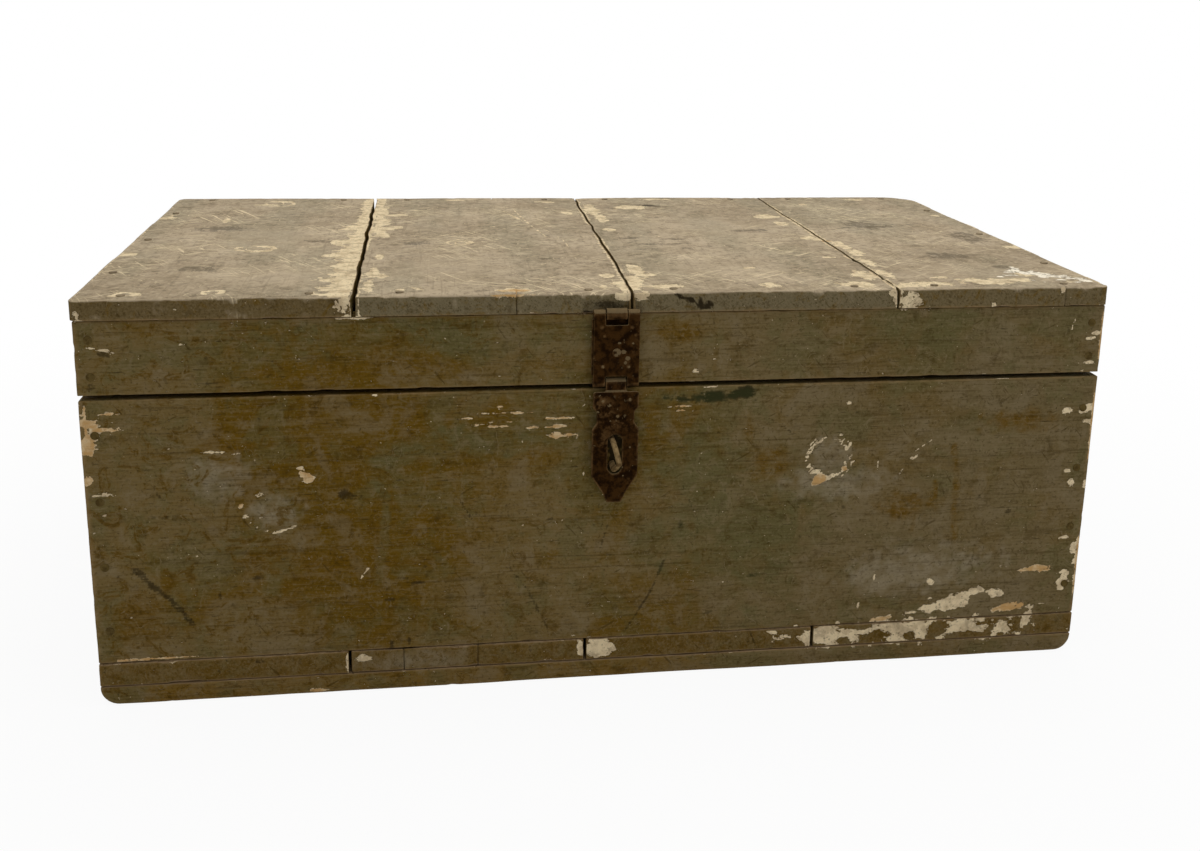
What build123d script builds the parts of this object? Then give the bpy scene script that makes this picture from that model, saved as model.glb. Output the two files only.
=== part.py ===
from build123d import *
from math import asin, degrees
import os

# Wooden trunk with a boarded lid, a double-hinged hasp and a driven staple.
# Millimetres. +Z up, the front faces -Y. The origin is on the floor, under
# the middle of the box.

# Box
trunk_width = 914.0
trunk_depth = 533.0
wall_thick = 24.0  # walls and lid rails, full inch boards planed once
wall_height = 242.5
bottom_thick = 22.0
runner_height = 18.0
runner_width = 58.0
runner_end_radius = 16.0  # worn lower corners of the runners
edge_ease = 1.6  # worn arris of the boards

# Lid
seam_gap = 3.5
rail_height = 65.0
lid_thick = 19.0
lid_overhang = 2.0
lid_gap = 3.2
lid_gap_front = (-228.0, 11.5, 254.5)  # where the gaps meet the front edge
lid_gap_back = (-226.5, 18.5, 256.0)
lid_front_corner = 7.0
lid_back_left_corner = 9.0
lid_back_right_corner = 36.0  # knocked round

# Bottom boards
bottom_gap = 2.0
bottom_gap_at = (-240.5, -26.5, 192.0)

# Nails, driven flush
nail_head_radius = 3.6
nail_head_height = 1.2
nail_shank_radius = 1.5
nail_length = 50.0
nail_fit = 0.05
lid_nail_inset = 38.0  # from a board's long edge
lid_end_nail_pitch = 160.0
end_nail_margin = 50.0  # first nail from the end of a short side
wall_nail_pitch = 60.0
wall_nail_margin = 25.0
rail_nail_pitch = 32.0
rail_nail_margin = 16.0
bottom_nail_inset = 36.0
bottom_end_nail_pitch = 170.0
runner_nail_pitch = 190.0
runner_nail_margin = 60.0

# Round-headed screws
screw_head_radius = 3.8
screw_head_height = 1.8
screw_shank_radius = 1.7
screw_length = 15.0
screw_fit = 0.1

# Hasp
hasp_x = -3.5
hasp_pin_radius = 2.2
pin_fit = 0.05  # radial clearance of every hinge pin
leaf_width = 43.0
leaf_thick = 3.0
leaf_foot = 1.0  # the leaf ends this far above the lower barrel
knuckle_width = 18.5
knuckle_fit = 0.5  # side clearance between knuckles
hasp_axis_above_lid_seat = 0.4
link_width = 41.0
link_thick = 2.0
link_length = 62.0  # between the two pins
link_notch_top = 4.0  # clear height under the leaf's knuckle
link_notch_bottom = 1.8  # clear height over the strap's knuckle
leaf_screw_x = 12.0
leaf_screw_low = 10.0  # above the leaf's lower end
leaf_screw_high = 38.0
board_notch_height = 10.0  # cut in the lid boards so that the link can fold up
board_notch_side = 2.5

# Strap, measured down from the lower pin
strap_thick = 2.0
strap_shoulder = 7.0
strap_head_width = 41.0
strap_head_end = 22.0
strap_neck_width = 34.0
strap_neck_start = 26.0
strap_neck_end = 36.0
strap_body_width = 42.0
strap_body_start = 42.0
strap_body_end = 86.5
strap_waist_width = 20.0
strap_waist = 103.5
strap_length = 112.0
strap_tip_width = 14.0
strap_corner = 2.5
strap_rest_gap = 0.3  # strap tip to the front board
slot_width = 12.5
slot_length = 37.0
slot_centre = 65.8
slot_rim_wall = 2.8
slot_rim_height = 1.4

# Staple
staple_rod_radius = 2.7
staple_pitch = 24.5  # between the two legs
staple_reach = 28.5  # front face of the board to the crown
staple_bite = 20.0  # leg length in the wood
staple_point = 5.0
staple_point_radius = 1.0
staple_fit = 0.05
staple_centre = 224.0  # height over the floor

# Domed rivet in the link
rivet_head_radius = 4.3
rivet_dome = 2.0
rivet_shank_radius = 2.0
rivet_back_height = 1.2
rivet_back_radius = 3.4
rivet_drop = 34.0  # below the upper pin

# Back hinges
hinge_x = 300.0
hinge_width = 76.0
hinge_leaf_height = 42.0
hinge_thick = 2.0
hinge_pin_radius = 2.5
hinge_knuckle_gap = 0.3
hinge_screw_side = 26.0
hinge_screw_outer = 10.0  # from the leaf's outer edge
hinge_screw_inner = 22.0
hinge_corner = 4.0

# End handles
handle_height = 205.0
handle_plate_width = 122.0
handle_plate_height = 44.0
handle_plate_thick = 2.5
handle_plate_corner = 6.0
handle_offset = 11.0  # end board to the bail's axis
handle_rod_radius = 4.0
handle_spread = 110.0  # between the bail's arms
handle_drop = 50.0
handle_bend = 9.0
handle_elbow = 5.0
handle_fit = 0.1
handle_arm_gap = 1.2  # between an arm and its lug
lug_thick = 7.0
lug_wall = 3.6
trunnion_past = 2.5
stop_gap = 0.3
stop_thick = 3.0
stop_reach = 6.0
handle_screw_y = 27.0
handle_screw_z = 13.0

os.makedirs("parts", exist_ok=True)

# Levels and faces
past = 1.0  # how far a cut runs past the face it starts from
half_width = trunk_width / 2
half_depth = trunk_depth / 2
bottom_level = runner_height
wall_level = bottom_level + bottom_thick
wall_top = wall_level + wall_height
rail_level = wall_top + seam_gap
lid_seat = rail_level + rail_height
lid_top = lid_seat + lid_thick
seam_middle = wall_top + seam_gap / 2

# Ways a fastener can point, from its tip to its head
to_front = Rot(X=90)
to_back = Rot(X=-90)
to_right = Rot(Y=90)
to_floor = Rot(X=180)


def save(name, solids):
    """Write one node, a solid or a list of separate solids."""
    shape = Compound(children=solids) if isinstance(solids, list) else solids
    export_step(shape, f"parts/{name}.step")


def block(x0, x1, y0, y1, z0, z1):
    size = Box(x1 - x0, y1 - y0, z1 - z0)
    return Pos((x0 + x1) / 2, (y0 + y1) / 2, (z0 + z1) / 2) * size


def round_bar(radius, x0, x1, y, z):
    """A cylinder along X."""
    return Pos((x0 + x1) / 2, y, z) * Rot(Y=90) * Cylinder(radius, x1 - x0)


def nail(grow=0.0):
    """Flat-headed nail along Z, its head flush with z = 0."""
    head = Cylinder(nail_head_radius + grow, nail_head_height + grow)
    shank_length = nail_length - nail_head_height
    shank = Cylinder(nail_shank_radius + grow, shank_length)
    head = Pos(Z=-(nail_head_height + grow) / 2) * head
    return head + Pos(Z=-nail_head_height - shank_length / 2) * shank


def dome(radius, height):
    """Spherical cap standing on z = 0."""
    ball = (radius**2 + height**2) / (2 * height)
    cap = Pos(Z=height - ball) * Sphere(ball)
    return cap & Pos(Z=height / 2) * Cylinder(radius + past, height)


def screw():
    """Round-headed screw along Z, the underside of its head at z = 0."""
    shank = Pos(Z=-screw_length / 2) * Cylinder(screw_shank_radius, screw_length)
    return dome(screw_head_radius, screw_head_height) + shank


def screw_hole(depth):
    """Drilled hole for a screw, from above its head down past its point."""
    radius = screw_shank_radius + screw_fit
    return Pos(Z=-depth / 2) * Cylinder(radius, depth)


def placed(make, places):
    return [place * make for place in places]


def drilled(piece, holes):
    """Cut the holes that reach the piece."""
    box = piece.bounding_box()
    for hole in holes:
        other = hole.bounding_box()
        apart = (
            other.min.X > box.max.X
            or other.max.X < box.min.X
            or other.min.Y > box.max.Y
            or other.max.Y < box.min.Y
            or other.min.Z > box.max.Z
            or other.max.Z < box.min.Z
        )
        if not apart:
            piece -= hole
    return piece


def spread(length, margin, pitch, middle=0.0):
    """Places at a pitch along a length, clear of its ends."""
    count = max(2, int((length - 2 * margin) / pitch) + 1)
    return [middle + pitch * (i - (count - 1) / 2) for i in range(count)]


# Nail places
nail_in = wall_thick / 2
inside_depth = trunk_depth - 2 * wall_thick
lid_edges_front = (-half_width, *lid_gap_front, half_width)
lid_edges_back = (-half_width, *lid_gap_back, half_width)
bottom_edges = (-half_width, *bottom_gap_at, half_width)


def between(edges, inset):
    """Two places in each board, an inset from its long edges."""
    return [x for a, b in zip(edges, edges[1:]) for x in (a + inset, b - inset)]


def lid_nail_places():
    y = half_depth - nail_in
    ends = spread(inside_depth, end_nail_margin, lid_end_nail_pitch)
    places = [Pos(x, -y, lid_top) for x in between(lid_edges_front, lid_nail_inset)]
    places += [Pos(x, y, lid_top) for x in between(lid_edges_back, lid_nail_inset)]
    places += [Pos(s * (half_width - nail_in), y_end, lid_top) for s in (-1, 1) for y_end in ends]
    return places


def corner_places(heights):
    """Nails through the front and back pieces into the end pieces."""
    x = half_width - nail_in
    front = [Pos(s * x, -half_depth, z) * to_front for s in (-1, 1) for z in heights]
    back = [Pos(s * x, half_depth, z) * to_back for s in (-1, 1) for z in heights]
    return front + back


def bottom_nail_places():
    y = half_depth - nail_in
    ends = spread(inside_depth, end_nail_margin, bottom_end_nail_pitch)
    xs = between(bottom_edges, bottom_nail_inset)
    places = [Pos(x, s * y, bottom_level) * to_floor for s in (-1, 1) for x in xs]
    places += [
        Pos(s * (half_width - nail_in), y_end, bottom_level) * to_floor
        for s in (-1, 1)
        for y_end in ends
    ]
    return places


def runner_nail_places():
    y = half_depth - nail_in
    xs = spread(trunk_width, runner_nail_margin, runner_nail_pitch)
    return [Pos(x, s * y, 0) * to_floor for s in (-1, 1) for x in xs]


wall_middle = wall_level + wall_height / 2
rail_middle = rail_level + rail_height / 2
wall_nails = spread(wall_height, wall_nail_margin, wall_nail_pitch, wall_middle)
rail_nails = spread(rail_height, rail_nail_margin, rail_nail_pitch, rail_middle)
nail_groups = {
    "lid_board_nails": lid_nail_places(),
    "lid_rail_nails": corner_places(rail_nails),
    "wall_nails": corner_places(wall_nails),
    "bottom_nails": bottom_nail_places(),
    "runner_nails": runner_nail_places(),
}
nail_holes = {name: placed(nail(nail_fit), places) for name, places in nail_groups.items()}
for name, places in nail_groups.items():
    save(name, placed(nail(), places))

# Hasp axes: the leaf's knuckle is rolled forward from the rail's face
hasp_bore = hasp_pin_radius + pin_fit
leaf_knuckle = hasp_bore + leaf_thick
link_knuckle = hasp_bore + link_thick
hasp_axis_y = -half_depth - leaf_knuckle
hasp_top_z = lid_seat + hasp_axis_above_lid_seat
hasp_low_z = hasp_top_z - link_length
leaf_bottom = hasp_low_z + link_knuckle + leaf_foot
leaf_screws = [
    Pos(hasp_x + s * leaf_screw_x, -half_depth - leaf_thick, leaf_bottom + z) * to_front
    for s in (-1, 1)
    for z in (leaf_screw_low, leaf_screw_high)
]

# Back hinges: pin behind the back face, in the middle of the seam
hinge_bore = hinge_pin_radius + pin_fit
hinge_knuckle = hinge_bore + hinge_thick
hinge_axis_y = half_depth + hinge_knuckle


def hinge_screws(side):
    """Three screws in each leaf: side is 1 for the lid's and -1 for the box's."""
    places = []
    for x in (-hinge_x, hinge_x):
        edge = seam_middle + side * hinge_leaf_height
        for dx, inset in (
            (-hinge_screw_side, hinge_screw_outer),
            (hinge_screw_side, hinge_screw_outer),
            (0, hinge_screw_inner),
        ):
            place = Pos(x + dx, half_depth + hinge_thick, edge - side * inset)
            places.append(place * to_back)
    return places


def handle_frame(end):
    """The right-hand handle's place, or the left's turned half round."""
    return Rot() if end == "right" else Rot(Z=180)


def handle_screws(end):
    face = half_width + handle_plate_thick
    return [
        handle_frame(end) * Pos(face, y, handle_height + z) * to_right
        for y in (-handle_screw_y, handle_screw_y)
        for z in (-handle_screw_z, handle_screw_z)
    ]


screw_groups = {
    "hasp_leaf_screws": leaf_screws,
    "lid_hinge_screws": hinge_screws(1),
    "box_hinge_screws": hinge_screws(-1),
    "left_handle_screws": handle_screws("left"),
    "right_handle_screws": handle_screws("right"),
}
screw_holes = {
    name: placed(screw_hole(screw_length + screw_fit), places)
    for name, places in screw_groups.items()
}
for name, places in screw_groups.items():
    save(name, placed(screw(), places))

# Walls
plate_holes = [hole for group in screw_holes.values() for hole in group]
box_nails = ("wall_nails", "bottom_nails", "runner_nails")


def staple_rod(radius, y_in):
    """U of round rod whose legs run in to the depth y_in."""
    crown = staple_pitch / 2
    crown_y = -half_depth - staple_reach + radius + crown
    low = staple_centre - crown
    high = staple_centre + crown
    leg_in = Line((hasp_x, y_in, low), (hasp_x, crown_y, low))
    turn = ThreePointArc(
        (hasp_x, crown_y, low), (hasp_x, crown_y - crown, staple_centre), (hasp_x, crown_y, high)
    )
    leg_out = Line((hasp_x, crown_y, high), (hasp_x, y_in, high))
    section = Plane((hasp_x, y_in, low), z_dir=(0, -1, 0)) * Circle(radius)
    return sweep(section, path=Wire([leg_in, turn, leg_out]))


def staple():
    """Driven staple with tapered points."""
    y_in = -half_depth + staple_bite - staple_point
    body = staple_rod(staple_rod_radius, y_in)
    point = Cone(staple_rod_radius, staple_point_radius, staple_point)
    for z in (-staple_pitch / 2, staple_pitch / 2):
        place = Pos(hasp_x, y_in + staple_point / 2, staple_centre + z)
        body += place * to_back * point
    return body


def staple_holes():
    """Two holes as deep as the legs."""
    hole = Cylinder(staple_rod_radius + staple_fit, staple_bite)
    y = -half_depth + staple_bite / 2
    return [
        Pos(hasp_x, y, staple_centre + z) * Rot(X=90) * hole
        for z in (-staple_pitch / 2, staple_pitch / 2)
    ]


wall_holes = [hole for name in box_nails for hole in nail_holes[name]]
wall_holes += plate_holes + staple_holes()


def eased(piece, axis, corners):
    """Round the piece's edges along an axis, at the corners picked by sign."""
    middle = piece.center()
    edges = [
        e
        for e in piece.edges().filter_by(axis)
        if any(
            (e.center().X - middle.X) * sx >= 0
            and (e.center().Y - middle.Y) * sy >= 0
            and (e.center().Z - middle.Z) * sz >= 0
            for sx, sy, sz in corners
        )
    ]
    return fillet(edges, edge_ease)


def front_wall(sign):
    """Front or back board: sign is -1 at the front, +1 at the back."""
    outer = sign * half_depth
    inner = outer - sign * wall_thick
    y0, y1 = sorted((outer, inner))
    wall = block(-half_width, half_width, y0, y1, wall_level, wall_top)
    wall = eased(wall, Axis.Z, [(1, sign, 0), (-1, sign, 0)])
    return drilled(wall, wall_holes)


def end_wall(sign):
    outer = sign * half_width
    inner = outer - sign * wall_thick
    x0, x1 = sorted((outer, inner))
    inside = half_depth - wall_thick
    return drilled(block(x0, x1, -inside, inside, wall_level, wall_top), wall_holes)


save("front_board", front_wall(-1))
save("back_board", front_wall(1))
save("left_end_board", end_wall(-1))
save("right_end_board", end_wall(1))
save("padlock_staple", staple())

# Bottom boards and runners
for i, (a, b) in enumerate(zip(bottom_edges, bottom_edges[1:])):
    x0 = a + (bottom_gap / 2 if i > 0 else 0)
    x1 = b - (bottom_gap / 2 if i < len(bottom_gap_at) else 0)
    board = block(x0, x1, -half_depth, half_depth, bottom_level, wall_level)
    save(f"bottom_board_{i + 1}", drilled(board, wall_holes))


def runner(sign):
    y0, y1 = sorted((sign * half_depth, sign * (half_depth - runner_width)))
    bar = block(-half_width, half_width, y0, y1, 0, runner_height)
    ends = bar.edges().filter_by(Axis.Y).group_by(Axis.Z)[0]
    bar = fillet(ends, runner_end_radius)
    return drilled(bar, nail_holes["runner_nails"])


save("front_runner", runner(-1))
save("back_runner", runner(1))

# Lid rim
lid_holes = nail_holes["lid_board_nails"] + nail_holes["lid_rail_nails"] + plate_holes


def long_rail(sign):
    y0, y1 = sorted((sign * half_depth, sign * (half_depth - wall_thick)))
    rail = block(-half_width, half_width, y0, y1, rail_level, lid_seat)
    rail = eased(rail, Axis.Z, [(1, sign, 0), (-1, sign, 0)])
    return drilled(rail, lid_holes)


def end_rail(sign):
    x0, x1 = sorted((sign * half_width, sign * (half_width - wall_thick)))
    inside = half_depth - wall_thick
    return drilled(block(x0, x1, -inside, inside, rail_level, lid_seat), lid_holes)


save("lid_front_rail", long_rail(-1))
save("lid_back_rail", long_rail(1))
save("lid_left_rail", end_rail(-1))
save("lid_right_rail", end_rail(1))

# Lid boards: each runs front to back, a little askew as it was sawn
board_front = -half_depth - lid_overhang
board_back = half_depth + lid_overhang
notch_half = link_width / 2 + board_notch_side
board_notch = block(
    hasp_x - notch_half,
    hasp_x + notch_half,
    board_front - past,
    -half_depth,
    lid_seat - past,
    lid_seat + board_notch_height,
)
corner_radii = {
    (-1, -1): lid_front_corner,
    (1, -1): lid_front_corner,
    (-1, 1): lid_back_left_corner,
    (1, 1): lid_back_right_corner,
}


def lid_board(i):
    last = len(lid_gap_front)
    half = half_width + lid_overhang
    left_front = -half if i == 0 else lid_gap_front[i - 1] + lid_gap / 2
    left_back = -half if i == 0 else lid_gap_back[i - 1] + lid_gap / 2
    right_front = half if i == last else lid_gap_front[i] - lid_gap / 2
    right_back = half if i == last else lid_gap_back[i] - lid_gap / 2
    outline = Polygon(
        (left_front, board_front),
        (right_front, board_front),
        (right_back, board_back),
        (left_back, board_back),
        align=None,
    )
    for (side, end), radius in corner_radii.items():
        if (side < 0 and i == 0) or (side > 0 and i == last):
            corner = [
                v
                for v in outline.vertices()
                if abs(v.X - side * half) < 0.01 and v.Y * end > 0
            ]
            outline = fillet(corner, radius)
    board = Pos(Z=lid_seat) * extrude(outline, lid_thick)
    board = fillet(board.faces().sort_by(Axis.Z)[-1].edges(), edge_ease)
    return drilled(board - board_notch, lid_holes)


for i in range(len(lid_gap_front) + 1):
    save(f"lid_board_{i + 1}", lid_board(i))

# Hasp: fixed leaf under the link, with one knuckle in its middle
side_top = hasp_top_z - link_knuckle - knuckle_fit
knuckle_half = knuckle_width / 2


def hasp_leaf():
    plate = block(
        hasp_x - leaf_width / 2,
        hasp_x + leaf_width / 2,
        -half_depth - leaf_thick,
        -half_depth,
        leaf_bottom,
        side_top,
    )
    plate = fillet(plate.edges().filter_by(Axis.Y), edge_ease)
    x0 = hasp_x - knuckle_half
    x1 = hasp_x + knuckle_half
    tongue = block(x0, x1, -half_depth - leaf_thick, -half_depth, leaf_bottom, hasp_top_z)
    leaf = plate + tongue + round_bar(leaf_knuckle, x0, x1, hasp_axis_y, hasp_top_z)
    leaf -= round_bar(hasp_bore, x0, x1, hasp_axis_y, hasp_top_z)
    return drilled(leaf, screw_holes["hasp_leaf_screws"])


def hasp_pin(z):
    return round_bar(
        hasp_pin_radius, hasp_x - link_width / 2, hasp_x + link_width / 2, hasp_axis_y, z
    )


link_front = hasp_axis_y - link_knuckle
knuckle_space = knuckle_half + knuckle_fit


def rivet():
    """Domed rivet through the link, its head to the front."""
    back = Pos(Z=-link_thick - rivet_back_height / 2)
    shank = Pos(Z=-link_thick / 2) * Cylinder(rivet_shank_radius, link_thick)
    foot = back * Cylinder(rivet_back_radius, rivet_back_height)
    return dome(rivet_head_radius, rivet_dome) + shank + foot


rivet_place = Pos(hasp_x, link_front, hasp_top_z - rivet_drop) * to_front


def hasp_link():
    x0 = hasp_x - link_width / 2
    x1 = hasp_x + link_width / 2
    plate = block(x0, x1, link_front, link_front + link_thick, hasp_low_z, hasp_top_z)
    link = plate + round_bar(link_knuckle, x0, x1, hasp_axis_y, hasp_top_z)
    link += round_bar(link_knuckle, x0, x1, hasp_axis_y, hasp_low_z)
    top_notch = hasp_top_z - leaf_knuckle - link_notch_top
    low_notch = hasp_low_z + link_knuckle + link_notch_bottom
    front = link_front - past
    back = hasp_axis_y + link_knuckle + past
    notch_x = (hasp_x - knuckle_space, hasp_x + knuckle_space)
    link -= block(*notch_x, front, back, top_notch, hasp_top_z + link_knuckle + past)
    link -= block(*notch_x, front, back, hasp_low_z - link_knuckle - past, low_notch)
    for z in (hasp_top_z, hasp_low_z):
        link -= round_bar(hasp_bore, x0, x1, hasp_axis_y, z)
    return link - rivet_place * Pos(Z=-link_thick / 2) * Cylinder(rivet_shank_radius, link_thick)


def strap_outline():
    """The strap seen from the front, its pin at the origin."""
    half_widths = (
        (strap_shoulder, strap_head_width),
        (strap_head_end, strap_head_width),
        (strap_neck_start, strap_neck_width),
        (strap_neck_end, strap_neck_width),
        (strap_body_start, strap_body_width),
        (strap_body_end, strap_body_width),
        (strap_waist, strap_waist_width),
        (strap_length, strap_tip_width),
    )
    right = [(width / 2, -down) for down, width in half_widths]
    left = [(-x, z) for x, z in reversed(right)]
    outline = Polygon(*right, *left, align=None)
    return fillet(outline.vertices(), strap_corner)


def hasp_strap():
    """Slotted strap, hung so that its tip rests by the front board."""
    front = Plane((0, -link_knuckle, 0), x_dir=(1, 0, 0), z_dir=(0, -1, 0))
    sheet = extrude(front * strap_outline(), -strap_thick)
    tongue = block(
        -knuckle_half, knuckle_half, -link_knuckle, strap_thick - link_knuckle, -strap_neck_end, 0
    )
    slot = Pos(0, -slot_centre) * SlotOverall(slot_length, slot_width, rotation=90)
    rim_size = (slot_length + 2 * slot_rim_wall, slot_width + 2 * slot_rim_wall)
    rim = Pos(0, -slot_centre) * SlotOverall(*rim_size, rotation=90)
    strap = sheet + tongue + round_bar(link_knuckle, -knuckle_half, knuckle_half, 0, 0)
    strap += extrude(front * rim, slot_rim_height)
    strap -= extrude(front * slot, slot_rim_height + strap_thick, both=True)
    strap -= round_bar(hasp_bore, -knuckle_half, knuckle_half, 0, 0)
    stand_off = leaf_knuckle - link_knuckle + strap_thick
    lean = degrees(asin((stand_off - strap_rest_gap) / strap_length))
    return Pos(hasp_x, hasp_axis_y, hasp_low_z) * Rot(X=lean) * strap


save("hasp_fixed_leaf", hasp_leaf())
save("hasp_top_pin", hasp_pin(hasp_top_z))
save("hasp_link", hasp_link())
save("hasp_link_rivet", rivet_place * rivet())
save("hasp_low_pin", hasp_pin(hasp_low_z))
save("hasp_strap", hasp_strap())

# Back hinges: three knuckles, the middle one on the lid's leaf
knuckle_third = hinge_width / 3


def hinge_leaf(x, side):
    """side is 1 for the lid's leaf, above the pin, and -1 for the box's."""
    edge = seam_middle + side * hinge_leaf_height
    shoulder = seam_middle + side * (hinge_knuckle + hinge_knuckle_gap)
    z0, z1 = sorted((edge, shoulder))
    plate = block(
        x - hinge_width / 2, x + hinge_width / 2, half_depth, half_depth + hinge_thick, z0, z1
    )
    corners = plate.edges().filter_by(Axis.Y).group_by(Axis.Z)[-1 if side > 0 else 0]
    leaf = fillet(corners, hinge_corner)
    thirds = (0,) if side > 0 else (-1, 1)
    for third in thirds:
        x0 = x + knuckle_third * (third - 0.5) + hinge_knuckle_gap / 2
        x1 = x + knuckle_third * (third + 0.5) - hinge_knuckle_gap / 2
        y0, y1 = half_depth, half_depth + hinge_thick
        leaf += block(x0, x1, y0, y1, *sorted((seam_middle, edge - side * hinge_corner)))
        leaf += round_bar(hinge_knuckle, x0, x1, hinge_axis_y, seam_middle)
        leaf -= round_bar(hinge_bore, x0, x1, hinge_axis_y, seam_middle)
    return drilled(leaf, screw_holes["lid_hinge_screws" if side > 0 else "box_hinge_screws"])


for name, x in (("left", -hinge_x), ("right", hinge_x)):
    save(f"{name}_hinge_lid_leaf", hinge_leaf(x, 1))
    save(f"{name}_hinge_box_leaf", hinge_leaf(x, -1))
    pin_half = hinge_width / 2
    pin = round_bar(hinge_pin_radius, x - pin_half, x + pin_half, hinge_axis_y, seam_middle)
    save(f"{name}_hinge_pin", pin)

# End handles, drawn at the right-hand end
bail_x = half_width + handle_offset
arm_y = handle_spread / 2
lug_outer = arm_y - handle_rod_radius - handle_arm_gap
lug_radius = handle_rod_radius + handle_fit + lug_wall


def handle_plate():
    plate = block(
        half_width,
        half_width + handle_plate_thick,
        -handle_plate_width / 2,
        handle_plate_width / 2,
        handle_height - handle_plate_height / 2,
        handle_height + handle_plate_height / 2,
    )
    plate = fillet(plate.edges().filter_by(Axis.X), handle_plate_corner)
    for s in (-1, 1):
        y0, y1 = sorted((s * lug_outer, s * (lug_outer - lug_thick)))
        across = Pos(bail_x, (y0 + y1) / 2, handle_height) * Rot(X=90)
        plate += across * Cylinder(lug_radius, lug_thick)
        low, high = handle_height - lug_radius, handle_height + lug_radius
        plate += block(half_width, bail_x, y0, y1, low, high)
        plate -= across * Cylinder(handle_rod_radius + handle_fit, lug_thick)
        y0, y1 = sorted((s * (arm_y - handle_rod_radius), s * (arm_y + handle_rod_radius)))
        stop = handle_height + handle_rod_radius + stop_gap
        plate += block(half_width, bail_x + stop_reach, y0, y1, stop, stop + stop_thick)
    return plate


def bail():
    """Round rod: trunnions in the lugs, two arms and the grip."""
    inner = lug_outer - lug_thick - trunnion_past
    points = [
        (bail_x, -inner, handle_height),
        (bail_x, -arm_y, handle_height),
        (bail_x, -arm_y, handle_height - handle_drop),
        (bail_x, arm_y, handle_height - handle_drop),
        (bail_x, arm_y, handle_height),
        (bail_x, inner, handle_height),
    ]
    radii = (handle_elbow, handle_bend, handle_bend, handle_elbow)
    path = FilletPolyline(*points, radius=radii)
    section = Plane(points[0], z_dir=(0, -1, 0)) * Circle(handle_rod_radius)
    return sweep(section, path=path)


for end in ("left", "right"):
    plate = handle_frame(end) * handle_plate()
    save(f"{end}_handle_plate", drilled(plate, screw_holes[f"{end}_handle_screws"]))
    save(f"{end}_handle_bail", handle_frame(end) * bail())
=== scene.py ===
import math
from functools import reduce

import bmesh
import bpy
import numpy as np
from mathutils import Matrix, Vector


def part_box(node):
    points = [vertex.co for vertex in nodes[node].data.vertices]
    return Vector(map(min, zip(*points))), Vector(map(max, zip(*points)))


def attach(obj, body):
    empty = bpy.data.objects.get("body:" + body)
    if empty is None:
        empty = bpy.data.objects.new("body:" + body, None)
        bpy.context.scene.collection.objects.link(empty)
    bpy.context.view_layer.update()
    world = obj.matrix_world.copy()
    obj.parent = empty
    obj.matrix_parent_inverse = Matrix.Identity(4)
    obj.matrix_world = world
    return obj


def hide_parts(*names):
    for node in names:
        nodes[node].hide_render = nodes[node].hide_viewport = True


# An old painted trunk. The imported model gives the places, and this script gives the worn boards,
# the paint and the rusty iron. Metres, the front faces -Y.

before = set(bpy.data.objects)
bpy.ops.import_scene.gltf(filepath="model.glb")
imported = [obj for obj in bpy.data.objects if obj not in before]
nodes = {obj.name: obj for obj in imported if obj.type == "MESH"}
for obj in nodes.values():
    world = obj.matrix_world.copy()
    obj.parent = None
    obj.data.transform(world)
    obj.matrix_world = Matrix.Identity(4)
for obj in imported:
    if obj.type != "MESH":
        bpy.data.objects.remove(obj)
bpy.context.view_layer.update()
mm = 0.001
scene = bpy.context.scene
directions = {
    "+x": (1, 0, 0), "-x": (-1, 0, 0), "+y": (0, 1, 0), "-y": (0, -1, 0), "+z": (0, 0, 1), "-z": (0, 0, -1),
}
axisNumber = {"x": 0, "y": 1, "z": 2}


def placesOf(mesh):
    flat = np.empty(len(mesh.vertices) * 3)
    mesh.vertices.foreach_get("co", flat)
    return flat.reshape(-1, 3)


def placed(name, data):
    thing = bpy.data.objects.new(name, data)
    scene.collection.objects.link(thing)
    return thing


# Noise for worn surfaces, from one seeded block of random values
latticeSize = 48
lattice = np.random.default_rng(11).random((latticeSize,) * 3)


def softNoise(points, size, shift=0.0):
    # smooth bumps from 0 to 1, size metres apart: one number, or one for each direction
    place = points / np.asarray(size) + shift
    cell = np.floor(place).astype(int)
    part = place - cell
    part = part * part * (3 - 2 * part)
    near, far = cell % latticeSize, (cell + 1) % latticeSize
    total = 0.0
    for xs, wx in ((near[:, 0], 1 - part[:, 0]), (far[:, 0], part[:, 0])):
        for ys, wy in ((near[:, 1], 1 - part[:, 1]), (far[:, 1], part[:, 1])):
            for zs, wz in ((near[:, 2], 1 - part[:, 2]), (far[:, 2], part[:, 2])):
                total = total + lattice[xs, ys, zs] * wx * wy * wz
    return total


def raggedNoise(points, size, shift=0.0, layers=3):
    # the same with finer bumps added, still from 0 to 1
    total, weight = 0.0, 0.0
    for layer in range(layers):
        share = 0.5**layer
        total = total + share * softNoise(points, np.asarray(size) * share, shift + 7.3 * layer)
        weight += share
    return np.clip((total / weight - 0.5) * 1.5 + 0.5, 0, 1)


def rise(value, low, high):
    # 0 below low, 1 above high, smooth between
    t = np.clip((value - low) / (high - low), 0, 1)
    return t * t * (3 - 2 * t)


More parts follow.
